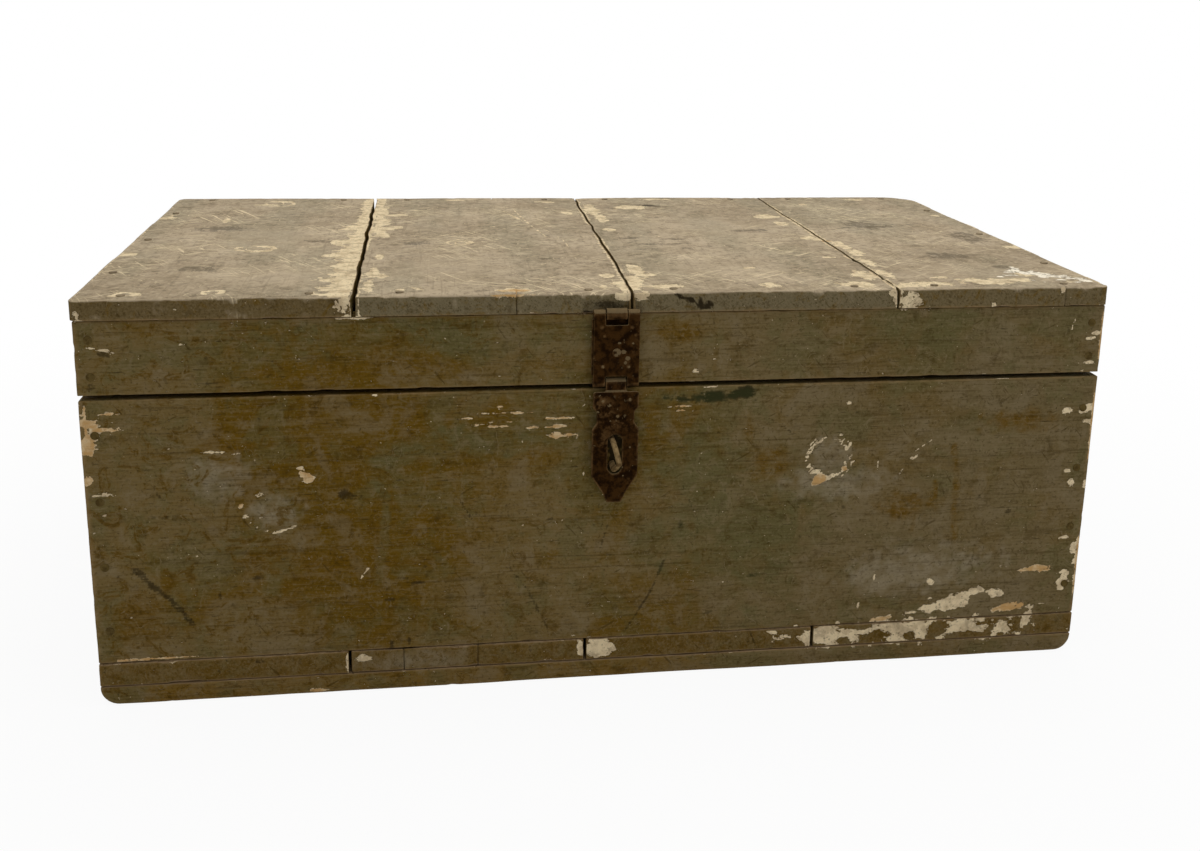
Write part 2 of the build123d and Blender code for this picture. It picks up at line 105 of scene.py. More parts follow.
# Marks in mm. On the front: across, height, half width, half height and turn in degrees
frontMarks = {
    "cream": [
        (-445, 252, 5, 5), (-446, 198, 9, 1.5), (-442, 179, 2.2, 0.8), (-337, 248, 2.2, 0.8), (-314, 193, 4, 3),
        (-326, 174, 3, 1.5), (-278, 217, 1.8, 0.8), (-436, 326, 8, 1, -10), (-452, 357, 2, 3),
        (-451, 351, 6, 0.8), (431, 249, 5, 3, 15), (449, 251, 6, 3, 20), (450, 238, 6, 1.2), (437, 188, 3, 1.2),
        (441, 176, 3, 3.4), (455, 175, 1.6, 4), (441, 120, 4.5, 1.6), (451, 109, 3, 4), (453, 94, 2.4, 2),
        (443, 72, 6, 6), (446, 82, 5, 3), (325, 56, 20, 8, 6), (313, 54, 12, 3), (350, 66, 12, 5, 12),
        (306, 80, 4.5, 2.4, -40), (374, 65, 8, 3.5, -8), (425, 51, 5, 1.3), (407, 33, 3.5, 12, -22),
        (290, 49, 8, 1.5, 10), (281, 207, 4, 1.1, 35), (290, 30, 96, 11), (208, 30, 15, 11), (187, 28, 4, 8),
        (150, 36, 6, 1.1), (168, 31, 4, 1.3), (264, 358, 10, 8), (252, 366, 8, 4), (-18, 30, 15, 9),
        (-30, 33, 5, 6), (-236, 366, 5, 2.6), (-241, 359, 2.4, 2), (-228, 350.5, 20, 1.6), (3, 366, 7, 5),
        (18, 367, 6, 4), (-226, 32, 7, 3), (346, 353, 1.4, 2.6), (307, 359, 2, 1), (412, 368, 2, 3),
        (450, 324, 4.5, 1.4), (444, 319, 3.5, 1), (446, 296, 4.5, 1.4), (440, 288, 2, 1), (70, 296, 4, 1.2),
        (87, 308, 1.3, 1.3), (-30, 268, 1, 1), (-212, 281, 2, 1.2), (87, 281, 7, 0.8), (-242, 30, 2, 9),
        (-30, 203, 1.2, 2), (250, 88, 1, 3), (236, 60, 1, 2.5), (214, 262, 2, 1), (246, 200, 1.2, 5),
    ],
    "orange": [
        (-450, 262, 6, 4), (-434, 270, 6.5, 1.4), (-452, 270, 4, 1), (-436, 256, 10, 1.7), (-452, 243, 6, 9),
        (-453, 211, 4, 4), (-270, 207, 8, 3.6, -30), (-329, 184, 3, 3), (410, 88, 15, 3.6, 4),
        (388, 49, 13, 4, 8), (259, 44, 14, 1.8, 5), (-105, 249, 12, 1), (-77, 248, 7, 1.2), (-55, 248, 7, 1),
        (-51, 239, 11, 2.6), (-105, 267, 3, 1.2), (-91, 262, 26, 0.6), (-99, 254, 16, 0.6), (-53, 256, 12, 0.8),
        (58, 264, 9, 1), (60, 260, 7, 0.8), (190, 189, 6, 3.4, 20), (-269, 3, 7, 1.6), (-93, 369, 16, 2),
        (-120, 252, 8, 0.6), (-140, 258, 10, 0.6), (214, 198, 3, 4, 30),
    ],
    "kept": [
        (-440, 296, 3, 3), (257, 27, 14, 4, 6), (318, 30, 13, 7, 20), (224, 24, 6, 3), (290, 24, 5, 3),
        (345, 22, 16, 3), (236, 38, 14, 2),
    ],
    "dark": [
        (-240, 191, 6, 4.5), (-232, 188, 6, 3), (-378, 199, 4, 2.7), (-394, 175, 13, 3.2), (-202, 89, 7, 2),
        (-192, 108, 7, 2.5), (-177, 104, 6, 1.8), (-350, 102, 2.7, 7.7), (-320, 115, 12, 2, 15),
        (-203, 44, 2.2, 5), (-187, 46, 2.2, 5), (-320, 34, 6, 3), (-38, 209, 7, 1.8), (417, 286, 8, 1.6, -15),
        (-446, 294, 4, 4), (-434, 322, 7, 3, -20), (90, 60, 5, 1.6), (130, 96, 6, 2), (215, 160, 4, 2.4),
        (-330, 250, 18, 1, 2), (-300, 300, 22, 1.4), (-350, 295, 14, 1), (350, 165, 4, 3), (380, 150, 3, 3),
        (150, 130, 3, 2), (60, 150, 3, 3), (-60, 160, 3, 2), (-110, 140, 3, 2), (-6, 357, 22, 6),
        # the last one here, at -3.5 across and 224 high behind the strap's slot, is painted shade
        (-12, 351.5, 24, 4), (-3.5, 224, 12, 25),
    ],
    "burntAndSlotShade": [
        # the first one here, in the strap's slot, is painted shade; the others are burn marks
        (-3.5, 225, 6, 17), (55, 364.5, 6, 1.9, -22), (63, 361.5, 4.5, 2, -25), (71, 359, 2.4, 4.2, -10),
        (79, 357, 4, 3), (72, 355.5, 3, 1.4),
    ],
    "green": [
        (81, 272, 40, 5.5, 2), (110, 274, 16, 4), (-180, 232, 40, 10, 24), (120, 140, 70, 60),
        (-120, 236, 46, 14), (60, 208, 36, 28), (-150, 334, 150, 17), (300, 330, 70, 18),
    ],
    "smudge": [(86, 272, 38, 6, 2), (112, 274, 16, 6), (64, 270, 14, 4)],
    "rust": [
        (-255, 125, 27, 11), (-238, 120, 8, 8), (-285, 108, 14, 8, 40), (-180, 124, 22, 6), (121, 237, 3.3, 10),
        (-91, 216, 2.4, 6), (-77, 218, 4, 10), (52, 333, 24, 9), (-228, 212, 8, 6), (-330, 238, 26, 5),
        (-6, 357, 26, 10), (-200, 318, 20, 10), (30, 236, 6, 12), (-420, 80, 26, 20), (-310, 130, 20, 16),
        (280, 160, 22, 14), (140, 205, 18, 14), (380, 240, 30, 10), (158, 30, 30, 10),
    ],
    "haze": [
        (-347, 209, 24, 17), (-303, 178, 20, 17), (198, 210, 17, 17), (205, 185, 42, 12), (300, 95, 60, 20),
        (-180, 28, 40, 8), (252, 88, 36, 16),
    ],
}
frontStrokes = {  # the half width, then across and height of each point
    "dark": [
        (3.6, -420, 127, -405, 110, -392, 98, -376, 76), (1.9, 46, 115, 34, 84, 11, 46),
        (1.6, -96, 114, -80, 92, -61, 51), (1.2, -270, 150, -266, 132), (1, 60, 190, 78, 150, 70, 120),
        (1.1, -20, 180, -8, 150, -14, 128), (1.2, 110, 60, 130, 40, 138, 20), (1.2, -140, 180, -128, 160),
        (1.2, -402, 206, -396, 194, -388, 188), (1.1, 215, 120, 232, 102), (1, 140, 250, 160, 236),
    ],
    "green": [
        (1.8, -218, 218, -180, 232, -136, 252), (4, -214, 200, -205, 185, -207, 150, -214, 108),
        (2, -140, 230, -95, 222),
    ],
    "rust": [
        (3, 320, 217, 324, 190, 325, 150, 328, 125), (2.4, 304, 182, 306, 154), (2.4, 288, 160, 284, 135),
        (0.8, 87, 343, 87, 286),
    ],
    "orange": [
        (0.9, -440, 42.5, -395, 42.8, -372, 43.5), (1.2, -452, 276, -452, 240), (1, 455.5, 265, 455.5, 200),
        (1, 455, 120, 455, 60), (0.9, 455.5, 345, 455.5, 300),
    ],
    "cream": [
        (0.8, -244, 367, -238, 354), (0.9, -240, 368, -235, 351), (0.8, -236, 368, -233, 350),
        (0.7, -246, 362, -240, 357), (0.9, -231, 368, -230.6, 351), (0.7, -224.4, 367, -224.6, 353),
        (0.6, -221, 362, -219, 355), (0.7, -322, 168, -312, 160, -300, 157, -283, 163),
        (0.5, -372, 232, -345, 234, -318, 229), (0.6, 428, 338, 425, 326), (0.8, -228, 112, -222, 120),
        (0.25, 268, 192, 282, 214, 300, 226), (0.45, 87, 343, 87, 286),
    ],
}
frontKnots = [  # rings round a knot: where, half width, half height, line width, kind
    (198, 210, 18, 18.5, 0.9, "cream"), (198.5, 210, 21.5, 20.5, 0.5, "cream"),
    (198, 210, 15.6, 16.2, 0.8, "dark"),
]
# On the lid's top the second number is the depth from the middle
topMarks = {
    "cream": [
        (-450, 132, 9, 12), (-451, -73, 10, 9), (-383, 109, 4, 12), (-417, -252, 11, 8), (-345, -248, 10, 9),
        (-256, -252, 8, 8), (-182, -243, 12, 6), (-232, 205, 8, 60), (-234, 112, 7, 40), (-240, 60, 15, 16),
        (-236, 5, 12, 26), (-247, -22, 14, 14), (-240, -84, 12, 40), (-256, -92, 9, 9), (-240, -150, 12, 40),
        (-238, -196, 12, 34), (-254, -200, 12, 9), (-244, -236, 16, 16), (-216, 170, 7, 46), (-214, 96, 8, 36),
        (-206, 60, 12, 14), (-212, 22, 8, 18), (-200, 140, 10, 7), (-211, -101, 4, 12), (-215, -175, 5, 24),
        (-208, -186, 6, 8), (-217, -226, 5, 28), (-91, -252, 15, 7), (-3, -197, 6, 8), (-12, -242, 4, 5),
        (2, -230, 4, 5), (44, -246, 14, 8), (140, -246, 9, 8), (28, -170, 7, 30), (36, -196, 9, 8),
        (13, -244, 10, 22), (20, -212, 8, 18), (33, 39, 7, 9), (-2, 154, 6, 9), (30, 176, 8, 40),
        (34, 118, 6, 26), (79, 190, 18, 14), (230, 122, 13, 14), (238, 74, 8, 11), (242, -18, 10, 12),
        (266, -58, 7, 24), (268, -99, 7, 17), (265, -146, 6, 20), (264, -200, 7, 18), (242, -205, 10, 18),
        (222, -246, 14, 12), (140, -172, 5, 5), (233, -121, 8, 5), (352, -246, 20, 11), (335, -236, 12, 8),
        (291, -248, 18, 12), (269, -252, 11, 9), (372, -238, 26, 8), (310, -222, 10, 5), (408, -212, 20, 10),
        (452, -75, 9, 8), (442, 128, 5, 7), (-337, 240, 18, 5), (-350, 215, 10, 6), (-130, 250, 12, 5),
        (380, 245, 14, 6), (120, 252, 16, 5), (-20, 235, 10, 6), (300, 210, 6, 8), (-64, 120, 2, 30, 15),
    ],
    "white": [
        (398, -194, 8, 9), (408, -204, 11, 8), (419, -214, 13, 7), (431, -223, 13, 7), (441, -232, 10, 6),
        (447, -242, 6, 6), (411, -226, 9, 4), (402, -184, 4, 9), (425, -238, 6, 3), (388, -204, 6, 4),
        (384, -216, 10, 2.5), (436, -248, 5, 3), (372, -222, 6, 2), (396, -240, 3, 3), (404, -246, 4, 2),
    ],
    "orange": [(-93, -255, 13, 5), (258, -34, 6, 5)],
    "dark": [
        (-275, -15, 14, 9), (-176, -33, 17, 12), (-372, -150, 22, 16), (98, 206, 22, 12), (108, 200, 14, 8),
        (96, 118, 18, 6), (48, -11, 13, 6), (69, -45, 16, 6), (60, -70, 14, 5), (98, -20, 12, 4),
        (98, -44, 13, 4), (98, -68, 12, 4), (-48, -115, 15, 6), (-417, -252, 2.6, 3.4), (-345, -248, 2.6, 3.4),
        (-256, -252, 2.4, 3.2), (-182, -243, 2.8, 3), (392, -180, 14, 10), (-380, 60, 30, 18),
        (330, 60, 34, 26), (420, -20, 20, 40), (360, -120, 26, 20), (190, 30, 24, 12),
    ],
    # pale patches: dust, and on the right front partly a painted sheen
    "haze": [
        (-300, -180, 70, 40), (405, -210, 60, 34), (-150, -150, 50, 60), (100, -180, 60, 30),
        (-330, -10, 50, 60), (340, -200, 60, 40), (150, 60, 60, 60),
    ],
    "kept": [(-417, -252, 4.6, 4.4), (-345, -248, 4.6, 4.4), (-256, -252, 4.4, 4.2), (-182, -243, 4.8, 4.2)],
    "rust": [(258, -34, 10, 6), (-6, -262, 24, 5)],
    "smudge": [(102, 206, 15, 7)],
}
topStrokes = {
    "cream": [
        (9, -230, 262, -231, 60, -235, -60, -239, -170, -242, -262), (4, -218, 262, -217, 40),
        (0.8, -64, 180, -50, 60, -40, 0), (0.6, -36, 40, -24, -20, -22, -60), (0.5, -150, 100, -90, 60),
        (0.5, -250, 160, -300, 120),
    ],
}
topKnots = [
    (-332, -55, 18, 15, 2.6, "cream"), (-330, -56, 12, 9, 1.2, "cream"), (-337, 223, 17, 18, 2.2, "cream"),
    (-342, 226, 9, 9, 1.4, "cream"), (-133, -30, 12, 14, 2.0, "cream"), (-131, -32, 6, 7, 1.2, "cream"),
]
markEdge = {  # how far the noise moves a mark's edge, and how soft that edge is
    "grow": 1.06, "ragged": 1.2, "soft": 0.50, "softIfSmall": 0.6, "strokeRagged": 0.8, "strokeSoft": 1.2,
}


def ovalDistance(across, up, spot):
    x, y, wide, high = spot[:4]
    turn = math.radians(spot[4]) if len(spot) > 4 else 0.0
    dx, dy = across / mm - x, up / mm - y
    along = dx * math.cos(turn) + dy * math.sin(turn)
    over = dy * math.cos(turn) - dx * math.sin(turn)
    return np.hypot(along / wide, over / high), min(wide, high)


def strokeDistance(across, up, path):
    best = np.full(len(across), 1e9)
    for x0, y0, x1, y1 in zip(path[::2], path[1::2], path[2::2], path[3::2]):
        dx, dy = x1 - x0, y1 - y0
        t = np.clip(((across / mm - x0) * dx + (up / mm - y0) * dy) / (dx * dx + dy * dy), 0, 1)
        best = np.minimum(best, np.hypot(across / mm - x0 - t * dx, up / mm - y0 - t * dy))
    return best


def markedBy(across, up, wobble, spots, strokes):
    # how strongly a point is marked: 1 well inside a mark, a half at its edge, 0 outside
    total = np.zeros(len(across))
    for spot in spots:
        reach, small = ovalDistance(across, up, spot)
        soft = markEdge["soft"] + markEdge["softIfSmall"] / small  # a wide edge, which the shader makes ragged
        total = np.maximum(total, rise(markEdge["grow"] - reach + wobble * markEdge["ragged"], -soft, soft))
    for wide, *path in strokes:
        reach = strokeDistance(across, up, path) / wide
        soft = markEdge["strokeSoft"] / wide
        total = np.maximum(total, rise(1 - reach + wobble * markEdge["strokeRagged"], -soft, soft))
    return total


# The boards by CAD node: the ways along and across the grain, the outer face, mesh steps along and
# across in mm, the bare faces, splits as places across, and corners as radii in mm
frontWall = {"body": "box", "grain": "x", "across": "z", "out": "-y", "step": (2.0, 2.0), "bare": ["+y"]}
backWall = {"body": "box", "grain": "x", "across": "z", "out": "+y", "step": (3.5, 3.0), "bare": ["-y"]}
leftWall = {"body": "box", "grain": "y", "across": "z", "out": "-x", "step": (3.0, 2.6), "bare": ["+x"]}
rightWall = {"body": "box", "grain": "y", "across": "z", "out": "+x", "step": (3.0, 2.6), "bare": ["-x"]}
bottomBoard = {
    "body": "box", "grain": "y", "across": "x", "out": "-z", "step": (6, 2.0), "bare": ["+z", "-z"],
    "stain": 1.5,
}
lidBoard = {
    "body": "lid", "grain": "y", "across": "x", "out": "+z", "step": (3.0, 2.0), "bare": ["-z"], "endShow": 1.0,
}
runner = {"corners": {(0, 0): 16, (1, 0): 16}, "slot": "runner_wood"}
boards = {
    "front_board": frontWall, "back_board": backWall, "left_end_board": leftWall, "right_end_board": rightWall,
    "bottom_board_1": bottomBoard, "bottom_board_2": {**bottomBoard, "splits": (-125.3, -192.3)},
    "bottom_board_3": bottomBoard, "bottom_board_4": bottomBoard,
    "front_runner": {**frontWall, **runner, "step": (2.6, 2.4), "bare": ["+y", "-z", "+z"]},
    "back_runner": {**backWall, **runner, "step": (4, 2.6), "bare": ["-y", "-z", "+z"]},
    "lid_front_rail": {**frontWall, "body": "lid"}, "lid_back_rail": {**backWall, "body": "lid"},
    "lid_left_rail": {**leftWall, "body": "lid"}, "lid_right_rail": {**rightWall, "body": "lid"},
    "lid_board_1": {**lidBoard, "grey": 0.0, "corners": {(0, 0): 7, (1, 0): 9}},
    "lid_board_2": {**lidBoard, "grey": 1.0, "splits": (-86.0,)},
    "lid_board_3": {**lidBoard, "grey": 0.9},
    "lid_board_4": {**lidBoard, "grey": 0.4, "splits": (415.5,), "corners": {(0, 1): 8, (1, 1): 36}},
}
worn = {  # lengths in mm, sizes in metres
    "ease": 1.5, "easeSpread": 0.9, "easeSize": 0.05,  # the usual round of an edge, and how much it varies
    "breakDepth": 2.2, "breakFrom": (0.70, 0.95), "breakSize": 0.016,  # broken places, where noise is high
    "lidFront": 2.6, "lidSide": 0.5, "edgeStep": 3.0,  # rounds of the lid boards, mesh step over the edges
    "gapWander": 3.4, "gapClose": (0, 0.2, 0.75, 0.9, 0),  # how the lid's gaps wander and close
    "fibreDepth": 0.16, "fibreSize": (0.09, 0.006, 0.006), "swellDepth": 0.5, "swellSize": 0.11,
    "cupDepth": 0.7, "splitDepth": 3.0, "splitReach": 14, "nailDent": 0.3, "nailReach": 5.0,
    "notchDepth": 2.0, "notchWidth": 46.0, "notchHeight": 10.0, "haspX": -3.5,
}
nearness = {  # mm from an edge: where each kind of wear begins and where it is full
    "loss": (2.2, 0.3), "sideLoss": (6, 0.5), "brokenLoss": (5, 1.0),
    "rubAndHighlight": (2.6, 0.5), "endRub": (5, 1), "lidEnd": (7, 2),
}


def nearEdge(distance, kind):
    # 0 far from an edge, 1 at it
    begins, full = nearness[kind]
    return rise(-distance, -begins * mm, -full * mm)


def gridLines(length, step, ease, splits=()):
    # lines across a board, close together at both ends where the arris turns
    ends = ease * np.array([0, 0.3, 0.7, 1.2])
    count = max(1, round((length - 4 * ease) / step))
    middle = np.linspace(2 * ease, length - 2 * ease, count + 1)
    lines = np.concatenate([ends, middle, length - ends])
    for at in splits:
        lines = lines[np.abs(lines - at) > 1.1 * mm]
        lines = np.concatenate([lines, at + np.array([-0.55, 0, 0.55]) * mm])
    return np.sort(lines)


def boardSkin(us, vs, ws):
    # a closed skin: fine over the outer face and round the edges, coarse on the inner face
    coarse = 8  # lines of the outer face to one of the inner face

    def sparse(count):
        return np.unique(np.r_[0, 3, 3 + coarse : count - 4 - coarse // 2 : coarse, count - 4, count - 1])

    nu, nv = len(us), len(vs)
    outer = np.arange(nu * nv).reshape(nu, nv)
    iu = np.r_[0:nu, [nu - 1] * (nv - 2), nu - 1 : -1 : -1, [0] * (nv - 2)]
    iv = np.r_[[0] * nu, 1 : nv - 1, [nv - 1] * nu, nv - 2 : 0 : -1]
    places = [np.stack([np.repeat(us, nv), np.tile(vs, nu), np.zeros(nu * nv)], 1)]
    rings, used = [outer[iu, iv]], nu * nv
    for depth in ws[1:]:
        places.append(np.stack([us[iu], vs[iv], np.full(len(iu), depth)], 1))
        rings.append(np.arange(used, used + len(iu)))
        used += len(iu)
    ci, cj = sparse(nu), sparse(nv)
    inner = np.full((nu, nv), -1)
    inner[iu, iv] = rings[-1]
    gi, gj = np.meshgrid(ci[1:-1], cj[1:-1], indexing="ij")
    inner[gi, gj] = np.arange(used, used + gi.size).reshape(gi.shape)
    places.append(np.stack([us[gi].ravel(), vs[gj].ravel(), np.full(gi.size, ws[-1])], 1))
    quads = [np.stack([outer[:-1, :-1], outer[1:, :-1], outer[1:, 1:], outer[:-1, 1:]], -1).reshape(-1, 4)]
    for ring, below in zip(rings, rings[1:]):
        quads.append(np.stack([ring, below, np.roll(below, -1), np.roll(ring, -1)], 1))
    faces = np.concatenate(quads).tolist()
    for i0, i1 in zip(ci, ci[1:]):
        for j0, j1 in zip(cj, cj[1:]):
            side = lambda edge, a, b: range(a, b, 1 if b > a else -1) if edge else (a,)
            loop = [inner[i0, j] for j in side(i0 == 0, j0, j1)]
            loop += [inner[i, j1] for i in side(j1 == nv - 1, i0, i1)]
            loop += [inner[i1, j] for j in side(i1 == nu - 1, j1, j0)]
            loop += [inner[i, j0] for i in side(j0 == 0, i1, i0)]
            faces.append([int(v) for v in loop])
    return np.concatenate(places), faces


def nailHeads():
    # the middle of each nail head, read from the frame's own nails
    cells = {}
    for name in ("lid_board_nails", "lid_rail_nails", "wall_nails", "bottom_nails", "runner_nails"):
        for point in placesOf(nodes[name].data):
            for middle in cells:
                if (Vector(middle) - Vector(point)).length < 9 * mm:
                    cells[middle].append(point)
                    break
            else:
                cells[tuple(point)] = [point]
    return np.array([(np.min(group, 0) + np.max(group, 0)) / 2 for group in cells.values()])


heads = nailHeads()
print("nail ends found:", len(heads))


def colourLayer(mesh, name, red, green, blue):
    layer = mesh.attributes.new(name, "FLOAT_COLOR", "POINT")
    values = np.clip(np.stack([red, green, blue, np.ones(len(red))], 1), 0, 1)
    layer.data.foreach_set("color", values.astype(np.float32).ravel())


def makeBoard(name, look, number):
    low, high = (np.array(c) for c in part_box(name))
    u, v, out = axisNumber[look["grain"]], axisNumber[look["across"]], np.array(directions[look["out"]], float)
    w = 3 - u - v
    size = high - low
    isFront, isLid = low[1] < -0.25, name.startswith("lid_board")
    ease = worn["ease"] * mm
    splits = [x * mm - low[v] for x in look.get("splits", ())]
    us = gridLines(size[u], look["step"][0] * mm, ease)
    vs = gridLines(size[v], look["step"][1] * mm, ease, splits)
    ws = gridLines(size[w], worn["edgeStep"] * mm, ease)
    local, faces = boardSkin(us, vs, ws)
    if np.cross(np.eye(3)[u], np.eye(3)[v]) @ out < 0:
        faces = [face[::-1] for face in faces]
    straight = np.empty_like(local)
    straight[:, u] = low[u] + local[:, 0]
    straight[:, v] = low[v] + local[:, 1]
    straight[:, w] = high[w] - local[:, 2] if out[w] > 0 else low[w] + local[:, 2]

    # the arris: rounded, more in some places, broken away in a few
    seed = number * 3.17
    toEnd = np.minimum(local[:, 0], size[u] - local[:, 0])
    broken = rise(raggedNoise(straight, worn["breakSize"], seed + 5, 2), *worn["breakFrom"])
    radius = ease * (0.55 + worn["easeSpread"] * raggedNoise(straight, worn["easeSize"], seed, 2))
    if isLid:  # ends rounded at the top, sides sharp
        toRound = np.minimum(toEnd, {"1": local[:, 1], "4": size[v] - local[:, 1]}.get(name[-1], toEnd))
        rounded = nearEdge(toRound, "lidEnd") * rise(-local[:, 2] / size[w], -0.7, -0.4)
        radius *= (worn["lidSide"] + (worn["lidFront"] - worn["lidSide"]) * rounded) / worn["ease"]
    radius += broken * worn["breakDepth"] * mm
    radius = np.minimum(radius, 0.4 * size.min())[:, None]
    core = np.clip(straight, low + radius, high - radius)
    away = straight - core
    facing = away / np.maximum(np.linalg.norm(away, axis=1, keepdims=True), 1e-9)
    points = core + facing * radius

    # what the years did to the faces: raised fibres, swelling, cupping, nail dents, splits
    fibre = raggedNoise(straight[:, [u, v, w]], worn["fibreSize"], seed, 2)
    swell = softNoise(straight, worn["swellSize"], seed + 2)
    depth = (worn["fibreDepth"] * fibre + worn["swellDepth"] * swell) * mm
    if isLid:
        depth += worn["cupDepth"] * mm * (2 * local[:, 1] / size[v] - 1) ** 2 * (facing[:, 2] > 0.5)
    for at in heads[np.all((heads > low - 3 * mm) & (heads < high + 3 * mm), axis=1)]:
        reach = np.linalg.norm(straight - at, axis=1) / (worn["nailReach"] * mm)
        depth += worn["nailDent"] * mm * rise(-reach, -1.0, -0.55)
    for at in splits:
        nearEnd = (np.abs(facing[:, u]) > 0.5) | (toEnd < worn["splitReach"] * mm)
        depth += worn["splitDepth"] * mm * (nearEnd & (np.abs(local[:, 1] - at) < 0.2 * mm))
    if name in ("lid_board_2", "lid_board_3"):  # the rusted notch above the hasp
        notch = np.abs(straight[:, 0] / mm - worn["haspX"]) < worn["notchWidth"] / 2
        notch &= (straight[:, 1] < low[1] + 0.5 * mm) & (straight[:, 2] < low[2] + worn["notchHeight"] * mm)
        depth += notch * worn["notchDepth"] * mm
    points = points - facing * depth[:, None]

    # corners in plan, then the slanting edges of the lid's boards
    for ends, radius in look.get("corners", {}).items():
        corner, inwards = np.where(ends, high[[u, v]], low[[u, v]]), np.where(ends, -1, 1)
        away = radius * mm - (points[:, [u, v]] - corner) * inwards
        inside = np.all(away > 0, axis=1)
        reach = np.where(inside, away.max(1) / np.maximum(np.hypot(*away.T), 1e-9), 1)[:, None]
        points[:, [u, v]] += np.where(inside[:, None], away * (1 - reach), 0) * inwards
    if isLid:
        corners = placesOf(nodes[name].data)
        fronts = corners[corners[:, 1] < low[1] + 2 * mm, 0]
        backs = corners[corners[:, 1] > high[1] - 2 * mm, 0]
        share = np.clip((points[:, 1] - low[1]) / size[1], 0, 1)

        def boardSide(gap, end, outwards):
            # straight at the lid's own sides, and wandering along a gap
            if gap in (0, 4):
                return low[0] if gap == 0 else high[0]
            wander = (raggedNoise(points * (0, 1, 0.3), 0.035, 9.1 * gap, 4) - 0.5) * worn["gapWander"] * mm
            wander = wander + outwards * worn["gapClose"][gap] * mm
            return end(fronts) + share * (end(backs) - end(fronts)) + wander

        left, right = boardSide(int(name[-1]) - 1, np.min, -1), boardSide(int(name[-1]), np.max, 1)
        points[:, 0] = left + (points[:, 0] - low[0]) / size[0] * (right - left)

    # wear painted on: by the marks of each side, near an arris, and on the bare faces
    edge = np.sort(np.minimum(straight - low, high - straight), 1)[:, 1]
    wobble = raggedNoise(points, 0.007, seed + 9, 3) - 0.5
    patchy = raggedNoise(points, 0.06, seed + 4, 3)
    toFront, toTop = rise(-facing[:, 1], 0.45, 0.8), rise(facing[:, 2], 0.45, 0.8)
    wear = {kind: np.zeros(len(points)) for kind in {**frontMarks, **topMarks}}
    for weight, up, marks, strokes, knots in (
        (toFront * isFront, 2, frontMarks, frontStrokes, frontKnots),
        (toTop * isLid, 1, topMarks, topStrokes, topKnots),
    ):
        near = weight > 0
        for kind, spots in marks.items():
            drawn = markedBy(points[near, 0], points[near, up], wobble[near], spots, strokes.get(kind, ()))
            wear[kind][near] = np.maximum(wear[kind][near], drawn * weight[near])
        for x, y, wide, tall, line, kind in knots:
            reach, small = ovalDistance(points[:, 0], points[:, up], (x, y, wide, tall))
            offset = np.abs(reach - 1 + wobble * 0.3) * small
            ring = rise(-offset, -line * 1.8, -line * 0.3) * weight
            wear[kind] = np.maximum(wear[kind], ring * (0.45 + 0.8 * raggedNoise(points, 0.02, 3.3, 2)))
    wear["rust"] = np.maximum(wear["rust"], look.get("stain", 0) * toFront)
    edgeLoss = nearEdge(edge, "loss") * rise(patchy, 0.62, 0.85) * (1 - toFront * (0.45 + 0.4 * isLid))
    toSide = np.minimum(points[:, 0] - left, right - points[:, 0]) if isLid else np.full(len(points), 1.0)
    sideLoss = nearEdge(toSide, "sideLoss") * rise(patchy, 0.30, 0.52) * toTop * 0.85
    brokenLoss = nearEdge(edge, "brokenLoss") * broken * (0.25 if isFront else 0.9)
    bare = [wear["cream"], wear["orange"], 0.74 * wear["white"], 0.7 * edgeLoss, brokenLoss, sideLoss]
    bare = np.clip(np.maximum.reduce(bare) - wear["kept"], 0, 1)
    rubAndHighlight = nearEdge(edge, "rubAndHighlight") * (0.35 + 0.65 * patchy)
    toEnd = np.minimum(straight[:, u] - low[u], high[u] - straight[:, u])
    endRub = nearEdge(toEnd, "endRub") * toFront * (u == 0)
    rubAndHighlight = np.maximum(rubAndHighlight, endRub * (0.3 + 0.7 * raggedNoise(points, 0.02, 8.8, 3)))
    warm = np.maximum(wear["orange"], 0.6 * edgeLoss * (toFront + 0.2))
    # the burnt marks also carry the painted shade behind the hasp's slot
    dark = np.maximum.reduce([0.75 * wear["dark"], wear["burntAndSlotShade"] * 1.9, wear["smudge"] * 0.95])
    rawness = np.max([facing @ np.array(directions[d], float) for d in look["bare"]], axis=0)
    rawness = rise(rawness + 0.5 * (raggedNoise(points, 0.012, seed, 2) - 0.5), 0.35, 0.6)
    endGrain = rise(np.abs(facing[:, u]), 0.4, 0.8) * look.get("endShow", 0.2)
    lidTop = rise(facing[:, 2] + 0.5 * wobble, 0.12, 0.45) * isLid

    mesh = bpy.data.meshes.new(name + "_worn")
    mesh.from_pydata(points.tolist(), [], faces)
    mesh.shade_smooth()
    grainPlace = np.stack([  # each board is cut from its own part of the tree
        straight[:, u] + number * 1.7,
        straight[:, v] - low[v] - size[v] * (0.35 + 0.3 * lattice[number, 3, 5]),
        straight[:, w] - low[w] + 0.05 + 0.07 * lattice[number, 1, 2],
    ], 1)
    layer = mesh.attributes.new("grain", "FLOAT_VECTOR", "POINT")
    layer.data.foreach_set("vector", grainPlace.astype(np.float32).ravel())
    colourLayer(mesh, "wear", bare, warm, dark)
    colourLayer(mesh, "tint", wear["green"], wear["haze"], wear["rust"])
    colourLayer(mesh, "side", endGrain, lidTop, rawness)
    colourLayer(mesh, "extra", wear["white"], np.full(len(points), look.get("grey", 0.3)), rubAndHighlight)
    piece = placed(name + "_worn", mesh)
    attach(piece, look["body"])
    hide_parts(name)
    return piece


# Small helpers for node materials. They add to the tree that was started last
current = {}


def startTree(owner):
    owner.use_nodes = True
    current["tree"] = owner.node_tree
    owner.node_tree.nodes.clear()


